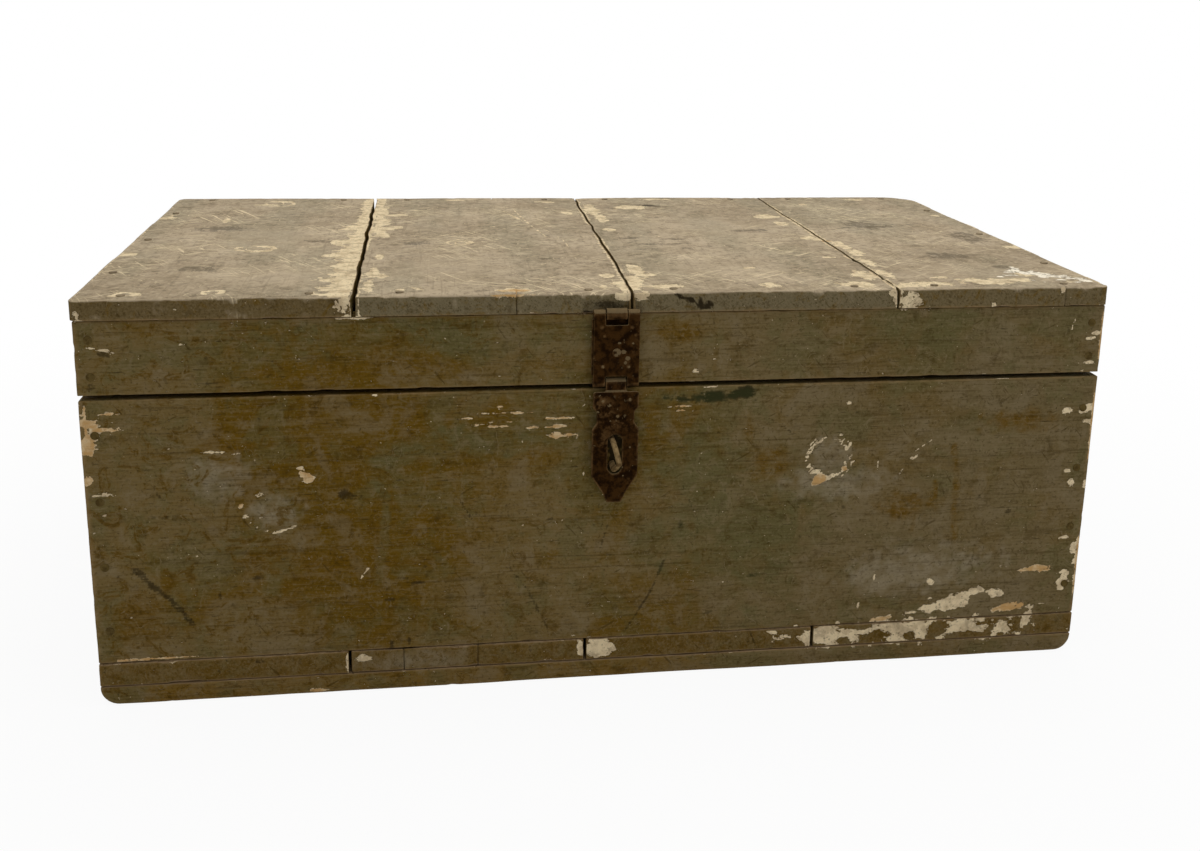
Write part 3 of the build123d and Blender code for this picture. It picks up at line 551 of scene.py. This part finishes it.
def fill(node, inputs):
    # join a socket to each input, or set its value
    for key, value in inputs.items():
        if isinstance(value, bpy.types.NodeSocket):
            current["tree"].links.new(value, node.inputs[key])
        else:
            node.inputs[key].default_value = value


def add(kind, inputs=None, **settings):
    node = current["tree"].nodes.new("ShaderNode" + kind)
    for key, value in settings.items():
        setattr(node, key, value)
    fill(node, inputs or {})
    return node


def newMaterial(name):
    material = bpy.data.materials.new(name)
    startTree(material)
    shader = add("BsdfPrincipled")
    return material, shader, add("OutputMaterial", {"Surface": shader.outputs[0]})


def objectPlace():
    return add("TexCoord").outputs["Object"]


def painted(layer):
    return add("Attribute", attribute_name=layer).outputs


def noise(where, scale, detail=3.0, rough=0.55, distort=0.0):
    settings = {"Vector": where, "Scale": scale, "Detail": detail, "Roughness": rough, "Distortion": distort}
    return add("TexNoise", settings).outputs[0]


def stretched(where, by):
    return add("VectorMath", {0: where, 1: by}, operation="MULTIPLY").outputs[0]


def streaky(where, by, detail, rough, distort=0.0):
    # noise drawn out, with its own scale in each direction
    return noise(stretched(where, by), 1, detail, rough, distort)


def turned(where, angle, axis):
    return add("VectorRotate", {"Vector": where, "Angle": angle}, rotation_type=axis + "_AXIS").outputs[0]


def ramp(value, low, high, most=1.0, least=0.0):
    # least where the value is low, most where it is high, smooth between
    settings = {"Value": value, "From Min": low, "From Max": high, "To Min": least, "To Max": most}
    return add("MapRange", settings, interpolation_type="SMOOTHSTEP").outputs[0]


def maths(operation, a, b):
    return add("Math", {0: a, 1: b}, operation=operation).outputs[0]


def share(amount, by):
    return maths("MULTIPLY", amount, by)


def plus(*amounts):
    return reduce(lambda a, b: maths("ADD", a, b), amounts)


def centred(value, by):
    # noise about zero, so that it takes as much as it gives
    return share(maths("SUBTRACT", value, 0.5), by)


def blend(amount, first, second):
    return add("Mix", {0: amount, 6: first, 7: second}, data_type="RGBA").outputs[2]


paint = {  # linear colours of the old paint and of what shows under it
    "olive": (0.166, 0.113, 0.040), "brown": (0.130, 0.072, 0.005), "grey": (0.160, 0.122, 0.060),
    "green": (0.118, 0.104, 0.040), "deep": (0.044, 0.025, 0.003), "pale": (0.222, 0.172, 0.092),
    "worn": (0.29, 0.19, 0.085), "rust": (0.128, 0.066, 0.003), "haze": (0.215, 0.168, 0.098),
    "bloom": (0.30, 0.25, 0.165), "dirtAndShade": (0.022, 0.015, 0.006), "greenDark": (0.028, 0.030, 0.010),
    # the lid top's tones: dust and bleaching, and partly a painted sheen
    "top": (0.340, 0.266, 0.172), "topPale": (0.48, 0.385, 0.262), "topDark": (0.180, 0.140, 0.088),
    "topGreen": (0.285, 0.246, 0.160), "smoke": (0.125, 0.100, 0.065), "white": (0.94, 0.86, 0.70),
    "cream": (0.79, 0.65, 0.42), "creamDark": (0.50, 0.385, 0.235), "orange": (0.52, 0.315, 0.125),
    "endBrown": (0.142, 0.100, 0.042), "endGrey": (0.168, 0.138, 0.078),
    "raw": (0.31, 0.215, 0.118), "rawDark": (0.185, 0.122, 0.064), "stain": (0.125, 0.093, 0.055),
}
runnerPaint = {**paint, "olive": (0.180, 0.112, 0.032), "brown": (0.175, 0.100, 0.018)}


def paintedWood(name, look, gloss):
    material, shader, _ = newMaterial(name)
    look = {tone: (*value, 1) for tone, value in look.items()}

    def coats(base, *layers):
        # colours over a base, each by a noise: where it begins, where it is full, how much, which colour
        for value, low, high, most, tone in layers:
            base = blend(ramp(value, low, high, most), base, look[tone])
        return base

    def masked(base, mask, value, low, high, least, most, tone):
        # one colour inside a mask, more or less of it by a noise
        return blend(share(mask, ramp(value, low, high, most, least)), base, look[tone])

    grain = painted("grain")["Vector"]
    bare, warm, dark, green, haze, rust, endGrain, lidTop, raw, white, greyEnd, rubAndHighlight = (
        channel for layer in ("wear", "tint", "side", "extra")
        for channel in add("SeparateColor", {0: painted(layer)["Color"]}).outputs[:3]
    )
    place = objectPlace()
    across = add("SeparateXYZ", {0: place}).outputs[0]

    # noise by the object's place, in waves a metre, from coarse to fine
    big, patches = noise(place, 6.5, 4, 0.6), noise(place, 13, 5, 0.62, 0.8)
    middle, mottle = noise(place, 24, 4, 0.62, 0.4), noise(place, 52, 5, 0.70, 1.1)
    small, fine, crumb = noise(place, 95, 4, 0.6), noise(place, 360, 3, 0.6), noise(place, 210, 4, 0.66)
    veins = maths("ABSOLUTE", maths("SUBTRACT", noise(place, 17, 3, 0.5, 1.6), 0.5), 0)
    # noise along the grain
    fibre, streak = streaky(grain, (11, 420, 420), 4, 0.6), streaky(grain, (10, 150, 150), 4, 0.62)
    brushed, dash = streaky(grain, (75, 520, 520), 3, 0.6), streaky(grain, (60, 620, 620), 2, 0.5)
    flow, drift = streaky(grain, (3.0, 14, 14), 2, 0.5), streaky(grain, (1.3, 8, 8), 2, 0.45)
    drift = stretched(add("CombineXYZ", {1: drift, 2: drift}).outputs[0], (0, 0.05, 0.05))
    bent = add("VectorMath", {0: grain, 1: drift}, operation="ADD").outputs[0]
    ringShape = {"Vector": bent, "Scale": 74, "Distortion": 0.45, "Detail": 2, "Detail Scale": 12.0}
    rings = add("TexWave", ringShape, wave_type="RINGS", rings_direction="X", wave_profile="SAW").outputs["Fac"]

    # the paint film: olive, browner and greener by turns, greyer to the right, darker along the grain
    film = coats(look["olive"], (big, 0.45, 0.60, 1.0, "brown"), (across, -0.12, 0.32, 0.8, "grey"))
    film = masked(film, ramp(patches, 0.50, 0.60, 0.85), across, 0.35, -0.3, 0.3, 1.0, "brown")
    film = coats(film, (middle, 0.48, 0.62, 0.50, "green"), (middle, 0.46, 0.36, 0.35, "haze"))
    film = masked(film, green, middle, 0.35, 0.6, 0.25, 0.7, "green")
    film = masked(film, rust, small, 0.35, 0.62, 0.3, 0.85, "rust")
    film = masked(film, haze, small, 0.35, 0.65, 0.30, 0.75, "bloom")
    film = masked(film, ramp(mottle, 0.52, 0.62, 0.7), across, 0.3, -0.4, 0.0, 1.0, "rust")
    film = coats(
        film, (mottle, 0.46, 0.34, 0.42, "pale"), (mottle, 0.54, 0.72, 0.55, "deep"),
        (streak, 0.47, 0.32, 0.22, "pale"), (streak, 0.54, 0.72, 0.30, "deep"),
    )
    # the boards' ends
    slantShape = {"Vector": grain, "Scale": 170, "Distortion": 5, "Detail": 2, "Detail Scale": 1.2}
    slant = add("TexWave", slantShape, bands_direction="DIAGONAL").outputs["Fac"]
    ends = blend(greyEnd, look["endBrown"], look["endGrey"])
    ends = masked(ends, greyEnd, slant, 0.3, 0.9, 0.0, 0.35, "pale")
    ends = coats(
        ends, (small, 0.52, 0.74, 0.35, "deep"), (noise(place, 520, 2, 0.6), 0.58, 0.70, 0.5, "deep"),
        (mottle, 0.52, 0.64, 0.6, "brown"),
    )
    film = coats(
        blend(endGrain, film, ends), (fibre, 0.54, 0.78, 0.55, "deep"),
        (brushed, 0.47, 0.34, 0.22, "pale"), (brushed, 0.54, 0.68, 0.28, "deep"),
        (fine, 0.45, 0.30, 0.36, "pale"), (fine, 0.55, 0.70, 0.46, "deep"),
        (small, 0.56, 0.76, 0.45, "deep"), (dash, 0.67, 0.73, 0.6, "dirtAndShade"),
    )
    flaw = ramp(noise(place, 200, 3, 0.6), 0.655, 0.71, 0.45)
    film = masked(film, flaw, middle, 0.42, 0.58, 0.0, 1.0, "dirtAndShade")
    hair = share(ramp(veins, 0.006, 0.001, 0.5), ramp(small, 0.46, 0.60))
    film = blend(hair, film, look["pale"])
    for turn in (0.5, -0.9):  # short dark scuffs, in two directions on the upright faces
        scuff = streaky(turned(place, turn, "Y"), (26, 30, 210), 3, 0.55)
        film = coats(film, (scuff, 0.655, 0.725, 0.55, "deep"))
    film = masked(film, rubAndHighlight, small, 0.35, 0.6, 0.15, 0.75, "worn")

    # the lid's top: bleached, smudged and scratched, its pale grey partly a painted sheen
    smear = streaky(turned(place, -0.5, "Z"), (34, 95, 60), 5, 0.66, 0.5)
    grey = coats(
        look["top"], (big, 0.38, 0.62, 1.0, "topPale"), (flow, 0.45, 0.6, 0.6, "topGreen"),
        (middle, 0.50, 0.72, 0.42, "topDark"),
        (mottle, 0.53, 0.68, 0.45, "topDark"), (mottle, 0.47, 0.34, 0.60, "topPale"),
        (smear, 0.54, 0.66, 0.55, "topDark"), (smear, 0.46, 0.34, 0.50, "topPale"),
        (crumb, 0.54, 0.66, 0.75, "topDark"), (crumb, 0.46, 0.34, 0.75, "topPale"),
        (small, 0.53, 0.68, 0.42, "topDark"), (small, 0.47, 0.34, 0.55, "topPale"),
        (fibre, 0.54, 0.72, 0.40, "topDark"),
    )
    grey = blend(share(hair, 1.3), grey, look["cream"])
    # rubbed arrises paler: worn paint, and along the lid's front arris a painted highlight too
    grey = blend(share(rubAndHighlight, 0.9), grey, look["topPale"])
    scratched = ramp(noise(place, 11), 0.47, 0.62)
    for turn in (1.1, 0.35, -0.7):
        scratch = ramp(streaky(turned(place, turn, "Z"), (16, 400, 30), 3, 0.55, 0.9), 0.60, 0.66, 0.80)
        grey = blend(share(scratch, scratched), grey, look["cream"])
    # paler in the haze patches: dust, and partly a painted sheen
    grey = masked(grey, haze, small, 0.3, 0.7, 0.1, 0.5, "topPale")
    surface = blend(lidTop, film, grey)

    # the dark marks, broken up by noise; the one behind the hasp's slot is painted shade
    shade = ramp(plus(dark, centred(small, 1.0), centred(brushed, 0.9), centred(fine, 0.8)), 0.40, 0.82)
    darkTone = coats(blend(lidTop, look["dirtAndShade"], look["smoke"]), (dark, 0.78, 0.95, 1.0, "dirtAndShade"))
    darkTone = blend(green, darkTone, look["greenDark"])
    surface = blend(share(shade, ramp(dark, 0.5, 1.0, 0.97, 0.45)), surface, darkTone)

    # where the paint is gone: ragged edges, cream ground coat or orange wood
    jagged = plus(centred(streaky(place, (72, 150, 165), 5, 0.68, 0.3), 2.2), centred(fine, 1.0))
    jagged = plus(bare, jagged)
    torn = ramp(streaky(place, (85, 190, 150), 4, 0.7, 0.6), 0.42, 0.49)
    chipped = share(ramp(jagged, 0.49, 0.53), maths("MAXIMUM", torn, ramp(white, 0.2, 0.4, 0.0, 1.0)))
    # a thin dark rim round each chip: painted shade at the edge of the broken paint
    surface = coats(surface, (jagged, 0.36, 0.47, 0.35, "dirtAndShade"))
    flecks = maths("SUBTRACT", noise(place, 300, 3, 0.5), ramp(lidTop, 0, 1, -0.03))
    flecks = share(ramp(flecks, 0.715, 0.735, 0.8), ramp(middle, 0.44, 0.58))
    chipped = maths("MAXIMUM", chipped, flecks)
    ground = coats(
        look["cream"], (small, 0.42, 0.66, 0.8, "creamDark"), (fibre, 0.54, 0.72, 0.45, "creamDark"),
        (fine, 0.56, 0.70, 0.7, "topDark"), (mottle, 0.52, 0.64, 0.5, "top"),
    )
    warmth = share(ramp(warm, 0.25, 0.7), ramp(small, 0.36, 0.60, 1.0, 0.45))
    ground = blend(warmth, ground, look["orange"])
    ground = masked(ground, warmth, brushed, 0.5, 0.7, 0.0, 0.6, "worn")
    surface = blend(chipped, surface, coats(ground, (white, 0.3, 0.8, 1.0, "white")))

    # bare wood on the inner faces
    wood = coats(
        look["raw"], (rings, 0.30, 0.95, 0.60, "rawDark"), (streak, 0.47, 0.66, 0.55, "rawDark"),
        (fibre, 0.5, 0.72, 0.6, "rawDark"), (mottle, 0.46, 0.34, 0.35, "top"),
        (patches, 0.38, 0.74, 0.42, "stain"), (small, 0.50, 0.74, 0.40, "stain"),
    )
    surface = blend(raw, surface, blend(share(flaw, 1.4), wood, look["dirtAndShade"]))

    roughness = maths("MAXIMUM", ramp(middle, 0.3, 0.7, gloss + 0.2, gloss), share(chipped, 0.85))
    ringHeight = ramp(maths("MAXIMUM", raw, endGrain), 0, 1, 0.2, 0.04)
    height = plus(
        share(fibre, 0.5), share(streak, 0.5), share(small, 0.25), share(fine, 0.25), share(rings, ringHeight)
    )
    height = maths("SUBTRACT", maths("SUBTRACT", height, share(chipped, 0.55)), share(shade, 0.15))
    bump = add("Bump", {"Height": height, "Strength": 0.6, "Distance": 0.0009}).outputs[0]
    fill(shader, {"Base Color": surface, "Roughness": roughness, "Normal": bump, "Specular IOR Level": 0.03})
    return material


iron = {  # linear colours: deep rust, brown rust, rubbed bright (also the painted highlight on upward faces), flecks
    "hasp": ((0.011, 0.0042, 0.0008), (0.046, 0.0200, 0.0050), (0.150, 0.085, 0.034), (0.185, 0.135, 0.070)),
    "staple": ((0.080, 0.046, 0.016), (0.225, 0.148, 0.064), (0.34, 0.24, 0.115), (0.42, 0.34, 0.21)),
    "nail": ((0.070, 0.046, 0.014), (0.125, 0.086, 0.028), (0.16, 0.12, 0.055), (0.30, 0.24, 0.14)),
    "lidNail": ((0.19, 0.148, 0.092), (0.30, 0.235, 0.15), (0.40, 0.32, 0.21), (0.5, 0.41, 0.25)),
}


def rustyIron(name, tones, fleckFrom):
    material, shader, _ = newMaterial(name)
    deep, brown, bright, fleck = ((*tone, 1) for tone in tones)
    place = objectPlace()
    left, ridge = painted("paintLeft")["Fac"], painted("ridge")["Fac"]
    big, middle = noise(place, 34, 4, 0.6), noise(place, 130, 5, 0.65)
    fine, speck = noise(place, 620, 4, 0.65), noise(place, 210, 2, 0.5)
    surface = blend(ramp(middle, 0.38, 0.62), deep, brown)
    surface = blend(share(ramp(big, 0.5, 0.7), ramp(middle, 0.45, 0.6, 0.55)), surface, bright)
    surface = blend(share(ramp(fine, 0.55, 0.75), 0.5), surface, deep)
    # lighter on rubbed corners, and on upward faces as a painted highlight
    surface = blend(share(ridge, ramp(middle, 0.35, 0.65, 0.95, 0.25)), surface, bright)
    flecks = share(ramp(speck, fleckFrom, fleckFrom + 0.03), ramp(big, 0.42, 0.55))
    # old paint left on the iron, and on the hasp's tops a painted highlight, in fleck colour
    leftPaintAndHighlight = ramp(plus(left, centred(fine, 1.4)), 0.62, 0.95, 0.9)
    surface = blend(share(maths("MAXIMUM", flecks, leftPaintAndHighlight), 0.8), surface, fleck)
    bump = plus(share(middle, 0.6), share(fine, 0.5))
    bump = add("Bump", {"Height": bump, "Strength": 0.9, "Distance": 0.0011}).outputs[0]
    roughness = ramp(middle, 0.35, 0.65, 0.85, 0.6)
    fill(shader, {"Base Color": surface, "Roughness": roughness, "Normal": bump, "Specular IOR Level": 0.015})
    return material


materials = {  # last, a wood's least roughness, or the noise above which an iron shows flecks
    "painted_wood": paintedWood("oldPaint", paint, 0.58),
    "runner_wood": paintedWood("runnerPaint", runnerPaint, 0.66),
    "rusty_iron": rustyIron("rustyIron", iron["hasp"], 0.66),
    "staple_iron": rustyIron("stapleIron", iron["staple"], 0.75),
    "nails": rustyIron("nailIron", iron["nail"], 0.70),
    "lid_nails": rustyIron("lidNailIron", iron["lidNail"], 0.66),
}
materials["screws"] = materials["nails"]

for number, (name, look) in enumerate(boards.items()):
    piece = makeBoard(name, look, number)
    piece.data.materials.append(materials[look.get("slot", "painted_wood")])
print("boards made:", len(boards))

# Iron pieces: a dense skin of each CAD piece, its edges softened and its faces eaten by rust
ironwork = {  # the body each rides on, and the skin's cells in mm
    "hasp_fixed_leaf": ("lid", 0.7), "hasp_top_pin": ("lid", 0.6), "hasp_link": ("hasp_link", 0.6),
    "hasp_link_rivet": ("hasp_link", 0.5), "hasp_low_pin": ("hasp_link", 0.6),
    "hasp_strap": ("hasp_strap", 0.6), "padlock_staple": ("box", 0.6),
    "left_hinge_lid_leaf": ("lid", 0.8), "right_hinge_lid_leaf": ("lid", 0.8),
    "left_hinge_box_leaf": ("box", 0.8), "right_hinge_box_leaf": ("box", 0.8),
    "left_hinge_pin": ("box", 0.7), "right_hinge_pin": ("box", 0.7),
    "left_handle_plate": ("box", 0.9), "right_handle_plate": ("box", 0.9),
    "left_handle_bail": ("left_bail", 0.9), "right_handle_bail": ("right_bail", 0.9),
}
rustPits = {
    "depth": 0.22, "size": 0.006, "fine": 0.10, "fineSize": 0.0018,  # mm deep, metres apart
    "ridge": 0.05,  # mm that a corner stands out by where it is rubbed bright
    "stapleAt": (212, 219, 228, 236), "stapleBend": (-1.6, 1.8, 0.0, -2.2),  # mm: heights and shifts
}
studs = {  # round heads on the hasp's front, in mm: across, height, radius and how far they stand out
    "hasp_link": [
        (-17.0, 340.6, 3.0, 1.4), (9.8, 340.4, 3.0, 1.4), (-15.7, 305.2, 3.0, 1.4), (7.1, 304.8, 3.0, 1.4),
        (-14.6, 332.5, 2.2, 0.9), (13.0, 333.5, 2.2, 0.9),
    ],
    "hasp_strap": [(-15.2, 273.6, 3.3, 1.4), (8.8, 274.5, 3.3, 1.4), (-1.9, 259.2, 2.6, 1.0)],
}
paintLeft = {  # old paint on the iron, in mm: across, height, half width, half height
    "hasp_link": [
        (-1.2, 326, 2.4, 1.4), (2.6, 318, 3.4, 2.4), (6.5, 312, 3.4, 2.6), (4.5, 308, 2, 2),
        (-15.7, 305, 1.8, 1.8), (7.3, 304.5, 1.6, 1.6),
    ],
    "hasp_link_rivet": [(-1.5, 318, 3, 3), (-4, 315.5, 2, 2)],
    "hasp_strap": [
        (-15.2, 274, 1.8, 1.8), (8.8, 275, 1.8, 1.8), (-2, 259.5, 1.8, 1.6), (10, 230, 1.4, 1.4),
        (3, 211, 1.6, 1.2),
    ],
}


def forged(name, body, slot, voxel, number):
    mesh = nodes[name].data.copy()
    work = bmesh.new()
    work.from_mesh(mesh)
    bmesh.ops.remove_doubles(work, verts=work.verts, dist=1e-6)
    work.to_mesh(mesh)
    work.free()
    piece = placed(name + "_rusty", mesh)
    skin = piece.modifiers.new("skin", "REMESH")
    skin.mode, skin.voxel_size, skin.use_smooth_shade = "VOXEL", voxel * mm, True
    dense = bpy.data.meshes.new_from_object(piece.evaluated_get(bpy.context.evaluated_depsgraph_get()))
    piece.modifiers.clear()
    piece.data = dense
    points, normal = placesOf(dense), np.empty(len(dense.vertices) * 3)
    dense.vertex_normals.foreach_get("vector", normal)
    normal = normal.reshape(-1, 3)
    ends = np.empty(len(dense.edges) * 2, int)
    dense.edges.foreach_get("vertices", ends)
    count = np.maximum(np.bincount(ends, minlength=len(points)), 1)
    ends = ends.reshape(-1, 2)

    def average(values):
        # of each point's neighbours
        both = ((ends[:, 0], ends[:, 1]), (ends[:, 1], ends[:, 0]))
        return sum(np.bincount(here, values[there], len(values)) for here, there in both) / count

    around = np.stack([average(points[:, k]) for k in range(3)], 1)
    # outer corners are rubbed lighter, and what faces up is lighter as a painted highlight from the light
    # overhead
    ridge = average(np.clip(np.sum((points - around) * normal, 1) / (rustPits["ridge"] * mm), 0, 2))
    ridge = np.maximum(ridge, 0.75 * rise(normal[:, 2], 0.15, 0.7))
    eaten = rustPits["depth"] * raggedNoise(points, rustPits["size"], number * 1.3, 3)
    eaten = eaten + rustPits["fine"] * softNoise(points, rustPits["fineSize"], number)
    points = points - normal * eaten[:, None] * mm
    if name == "padlock_staple":  # driven a little askew
        points[:, 0] += np.interp(points[:, 2] / mm, rustPits["stapleAt"], rustPits["stapleBend"]) * mm
    left = (1.25 if name.startswith("hasp") else 0.0) * rise(normal[:, 2], 0.05, 0.5)  # the hasp lighter on top: a painted highlight from the light overhead
    toFront = normal[:, 1] < -0.6
    for x, z, reach, stand in studs.get(name, ()):
        away = np.hypot(points[:, 0] / mm - x, points[:, 2] / mm - z) / reach
        points[:, 1] -= np.sqrt(np.clip(1 - away**2, 0, 1)) * toFront * stand * mm
        ridge = np.maximum(ridge, rise(-away, -0.8, -0.2) * toFront * 0.8)
        points[:, 1] += rise(-np.abs(away - 1.15), -0.2, 0.0) * toFront * 0.3 * mm  # a groove round the head
    for spot in paintLeft.get(name, ()):
        away = ovalDistance(points[:, 0], points[:, 2], spot)[0]
        left = np.maximum(left, rise(-away, -1.3, -0.5) * (normal[:, 1] < 0))
    # paintLeft also holds the painted highlight on the hasp's tops, ridge that on all upward faces
    for layer, values in (("paintLeft", left), ("ridge", np.clip(ridge, 0, 1))):
        dense.attributes.new(layer, "FLOAT", "POINT").data.foreach_set("value", values.astype(np.float32))
    dense.vertices.foreach_set("co", points.ravel())
    dense.shade_smooth()
    dense.materials.clear()
    dense.materials.append(materials[slot])
    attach(piece, body)
    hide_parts(name)


for number, (name, (body, voxel)) in enumerate(ironwork.items()):
    forged(name, body, "staple_iron" if name == "padlock_staple" else "rusty_iron", voxel, number)
print("iron made:", len(ironwork))

for name, node in nodes.items():
    if not node.hide_render:  # nails and screws keep their CAD shape
        kind = "lid_nails" if name == "lid_board_nails" else "screws" if "screws" in name else "nails"
        node.data.materials.clear()
        node.data.materials.append(materials[kind])
print("nails and screws coloured")

# Floor, light and camera
studio = {
    "floor": (0.86, 0.86, 0.86, 1), "floorReach": 30.0, "floorGlow": (1.0, 0.93), "glowFrom": (0.5, 1.5),
    "sky": 0.36, "skyColour": (1, 0.99, 0.97, 1), "white": (1, 1, 1, 1), "lampColour": (1.0, 0.985, 0.96),
    "lampPower": 62, "lampSize": 3.4, "lampAt": (0.35, 0.25, 2.9),
    "fillPower": 7, "fillSize": 2.4, "fillAt": (0.9, -2.8, 1.5), "lampsAim": (0, 0, 0.2),
}


def seenDirectly():
    # 1 for what the camera sees, also in a mirror or through glass
    seen = add("LightPath").outputs
    bounced = maths("MAXIMUM", seen["Is Glossy Ray"], seen["Is Transmission Ray"])
    return maths("MAXIMUM", seen["Is Camera Ray"], bounced)


def makeFloor():
    mesh = bpy.data.meshes.new("floor")
    reach = studio["floorReach"]
    corners = [(-reach, -reach, 0), (reach, -reach, 0), (reach, reach, 0), (-reach, reach, 0)]
    mesh.from_pydata(corners, [], [(0, 1, 2, 3)])
    floor = placed("floor", mesh)
    material, shader, output = newMaterial("paleFloor")
    fill(shader, {"Base Color": studio["floor"], "Roughness": 0.9, "Specular IOR Level": 0.1})
    glow = add("Emission", {"Color": studio["white"], "Strength": 1.0})
    away = add("VectorMath", {0: objectPlace()}, operation="LENGTH").outputs["Value"]
    white = share(seenDirectly(), ramp(away, *studio["glowFrom"], *studio["floorGlow"]))
    mix = add("MixShader", {0: white, 1: shader.outputs[0], 2: glow.outputs[0]})
    fill(output, {"Surface": mix.outputs[0]})
    mesh.materials.append(material)


def makeSky():
    world = bpy.data.worlds.new("studio")
    scene.world = world
    startTree(world)
    soft = add("Background", {"Color": studio["skyColour"], "Strength": studio["sky"]})
    white = add("Background", {"Color": studio["white"], "Strength": 1.0})
    mix = add("MixShader", {0: seenDirectly(), 1: soft.outputs[0], 2: white.outputs[0]})
    add("OutputWorld", {"Surface": mix.outputs[0]})


def softLamp(name, at, size, power):
    light = bpy.data.lights.new(name, "AREA")
    light.size, light.energy, light.color = size, power, studio["lampColour"]
    lamp = placed(name, light)
    lamp.location = at
    lamp.rotation_euler = (Vector(studio["lampsAim"]) - Vector(at)).to_track_quat("-Z", "Y").to_euler()


makeFloor()
makeSky()
softLamp("overhead", studio["lampAt"], studio["lampSize"], studio["lampPower"])
softLamp("fill", studio["fillAt"], studio["fillSize"], studio["fillPower"])

view = {  # fitted to the straight edges in the photo, angles in radians
    "at": (-0.16874, -1.381, 0.626485), "yaw": 0.1602, "pitch": -0.2369, "roll": 0.0226,
    "lens": 39.72, "sensor": 36.0, "shift": (-0.0273, -0.0968), "sees": (0.05, 100),
}


def makeCamera():
    data = bpy.data.cameras.new("camera")
    data.lens, data.sensor_width = view["lens"], view["sensor"]
    data.shift_x, data.shift_y = view["shift"]
    data.clip_start, data.clip_end = view["sees"]
    camera = placed("camera", data)
    yaw, pitch, roll = view["yaw"], view["pitch"], view["roll"]
    ahead = Vector((math.sin(yaw) * math.cos(pitch), math.cos(yaw) * math.cos(pitch), math.sin(pitch)))
    level = Vector((math.cos(yaw), -math.sin(yaw), 0))
    up = level.cross(ahead)
    right = math.cos(roll) * level + math.sin(roll) * up
    above = math.cos(roll) * up - math.sin(roll) * level
    turn = Matrix((right, above, -ahead)).transposed()
    camera.matrix_world = Matrix.Translation(view["at"]) @ turn.to_4x4()
    scene.camera = camera


makeCamera()
print("floor, light and camera made")
scene.view_settings.view_transform = "Standard"
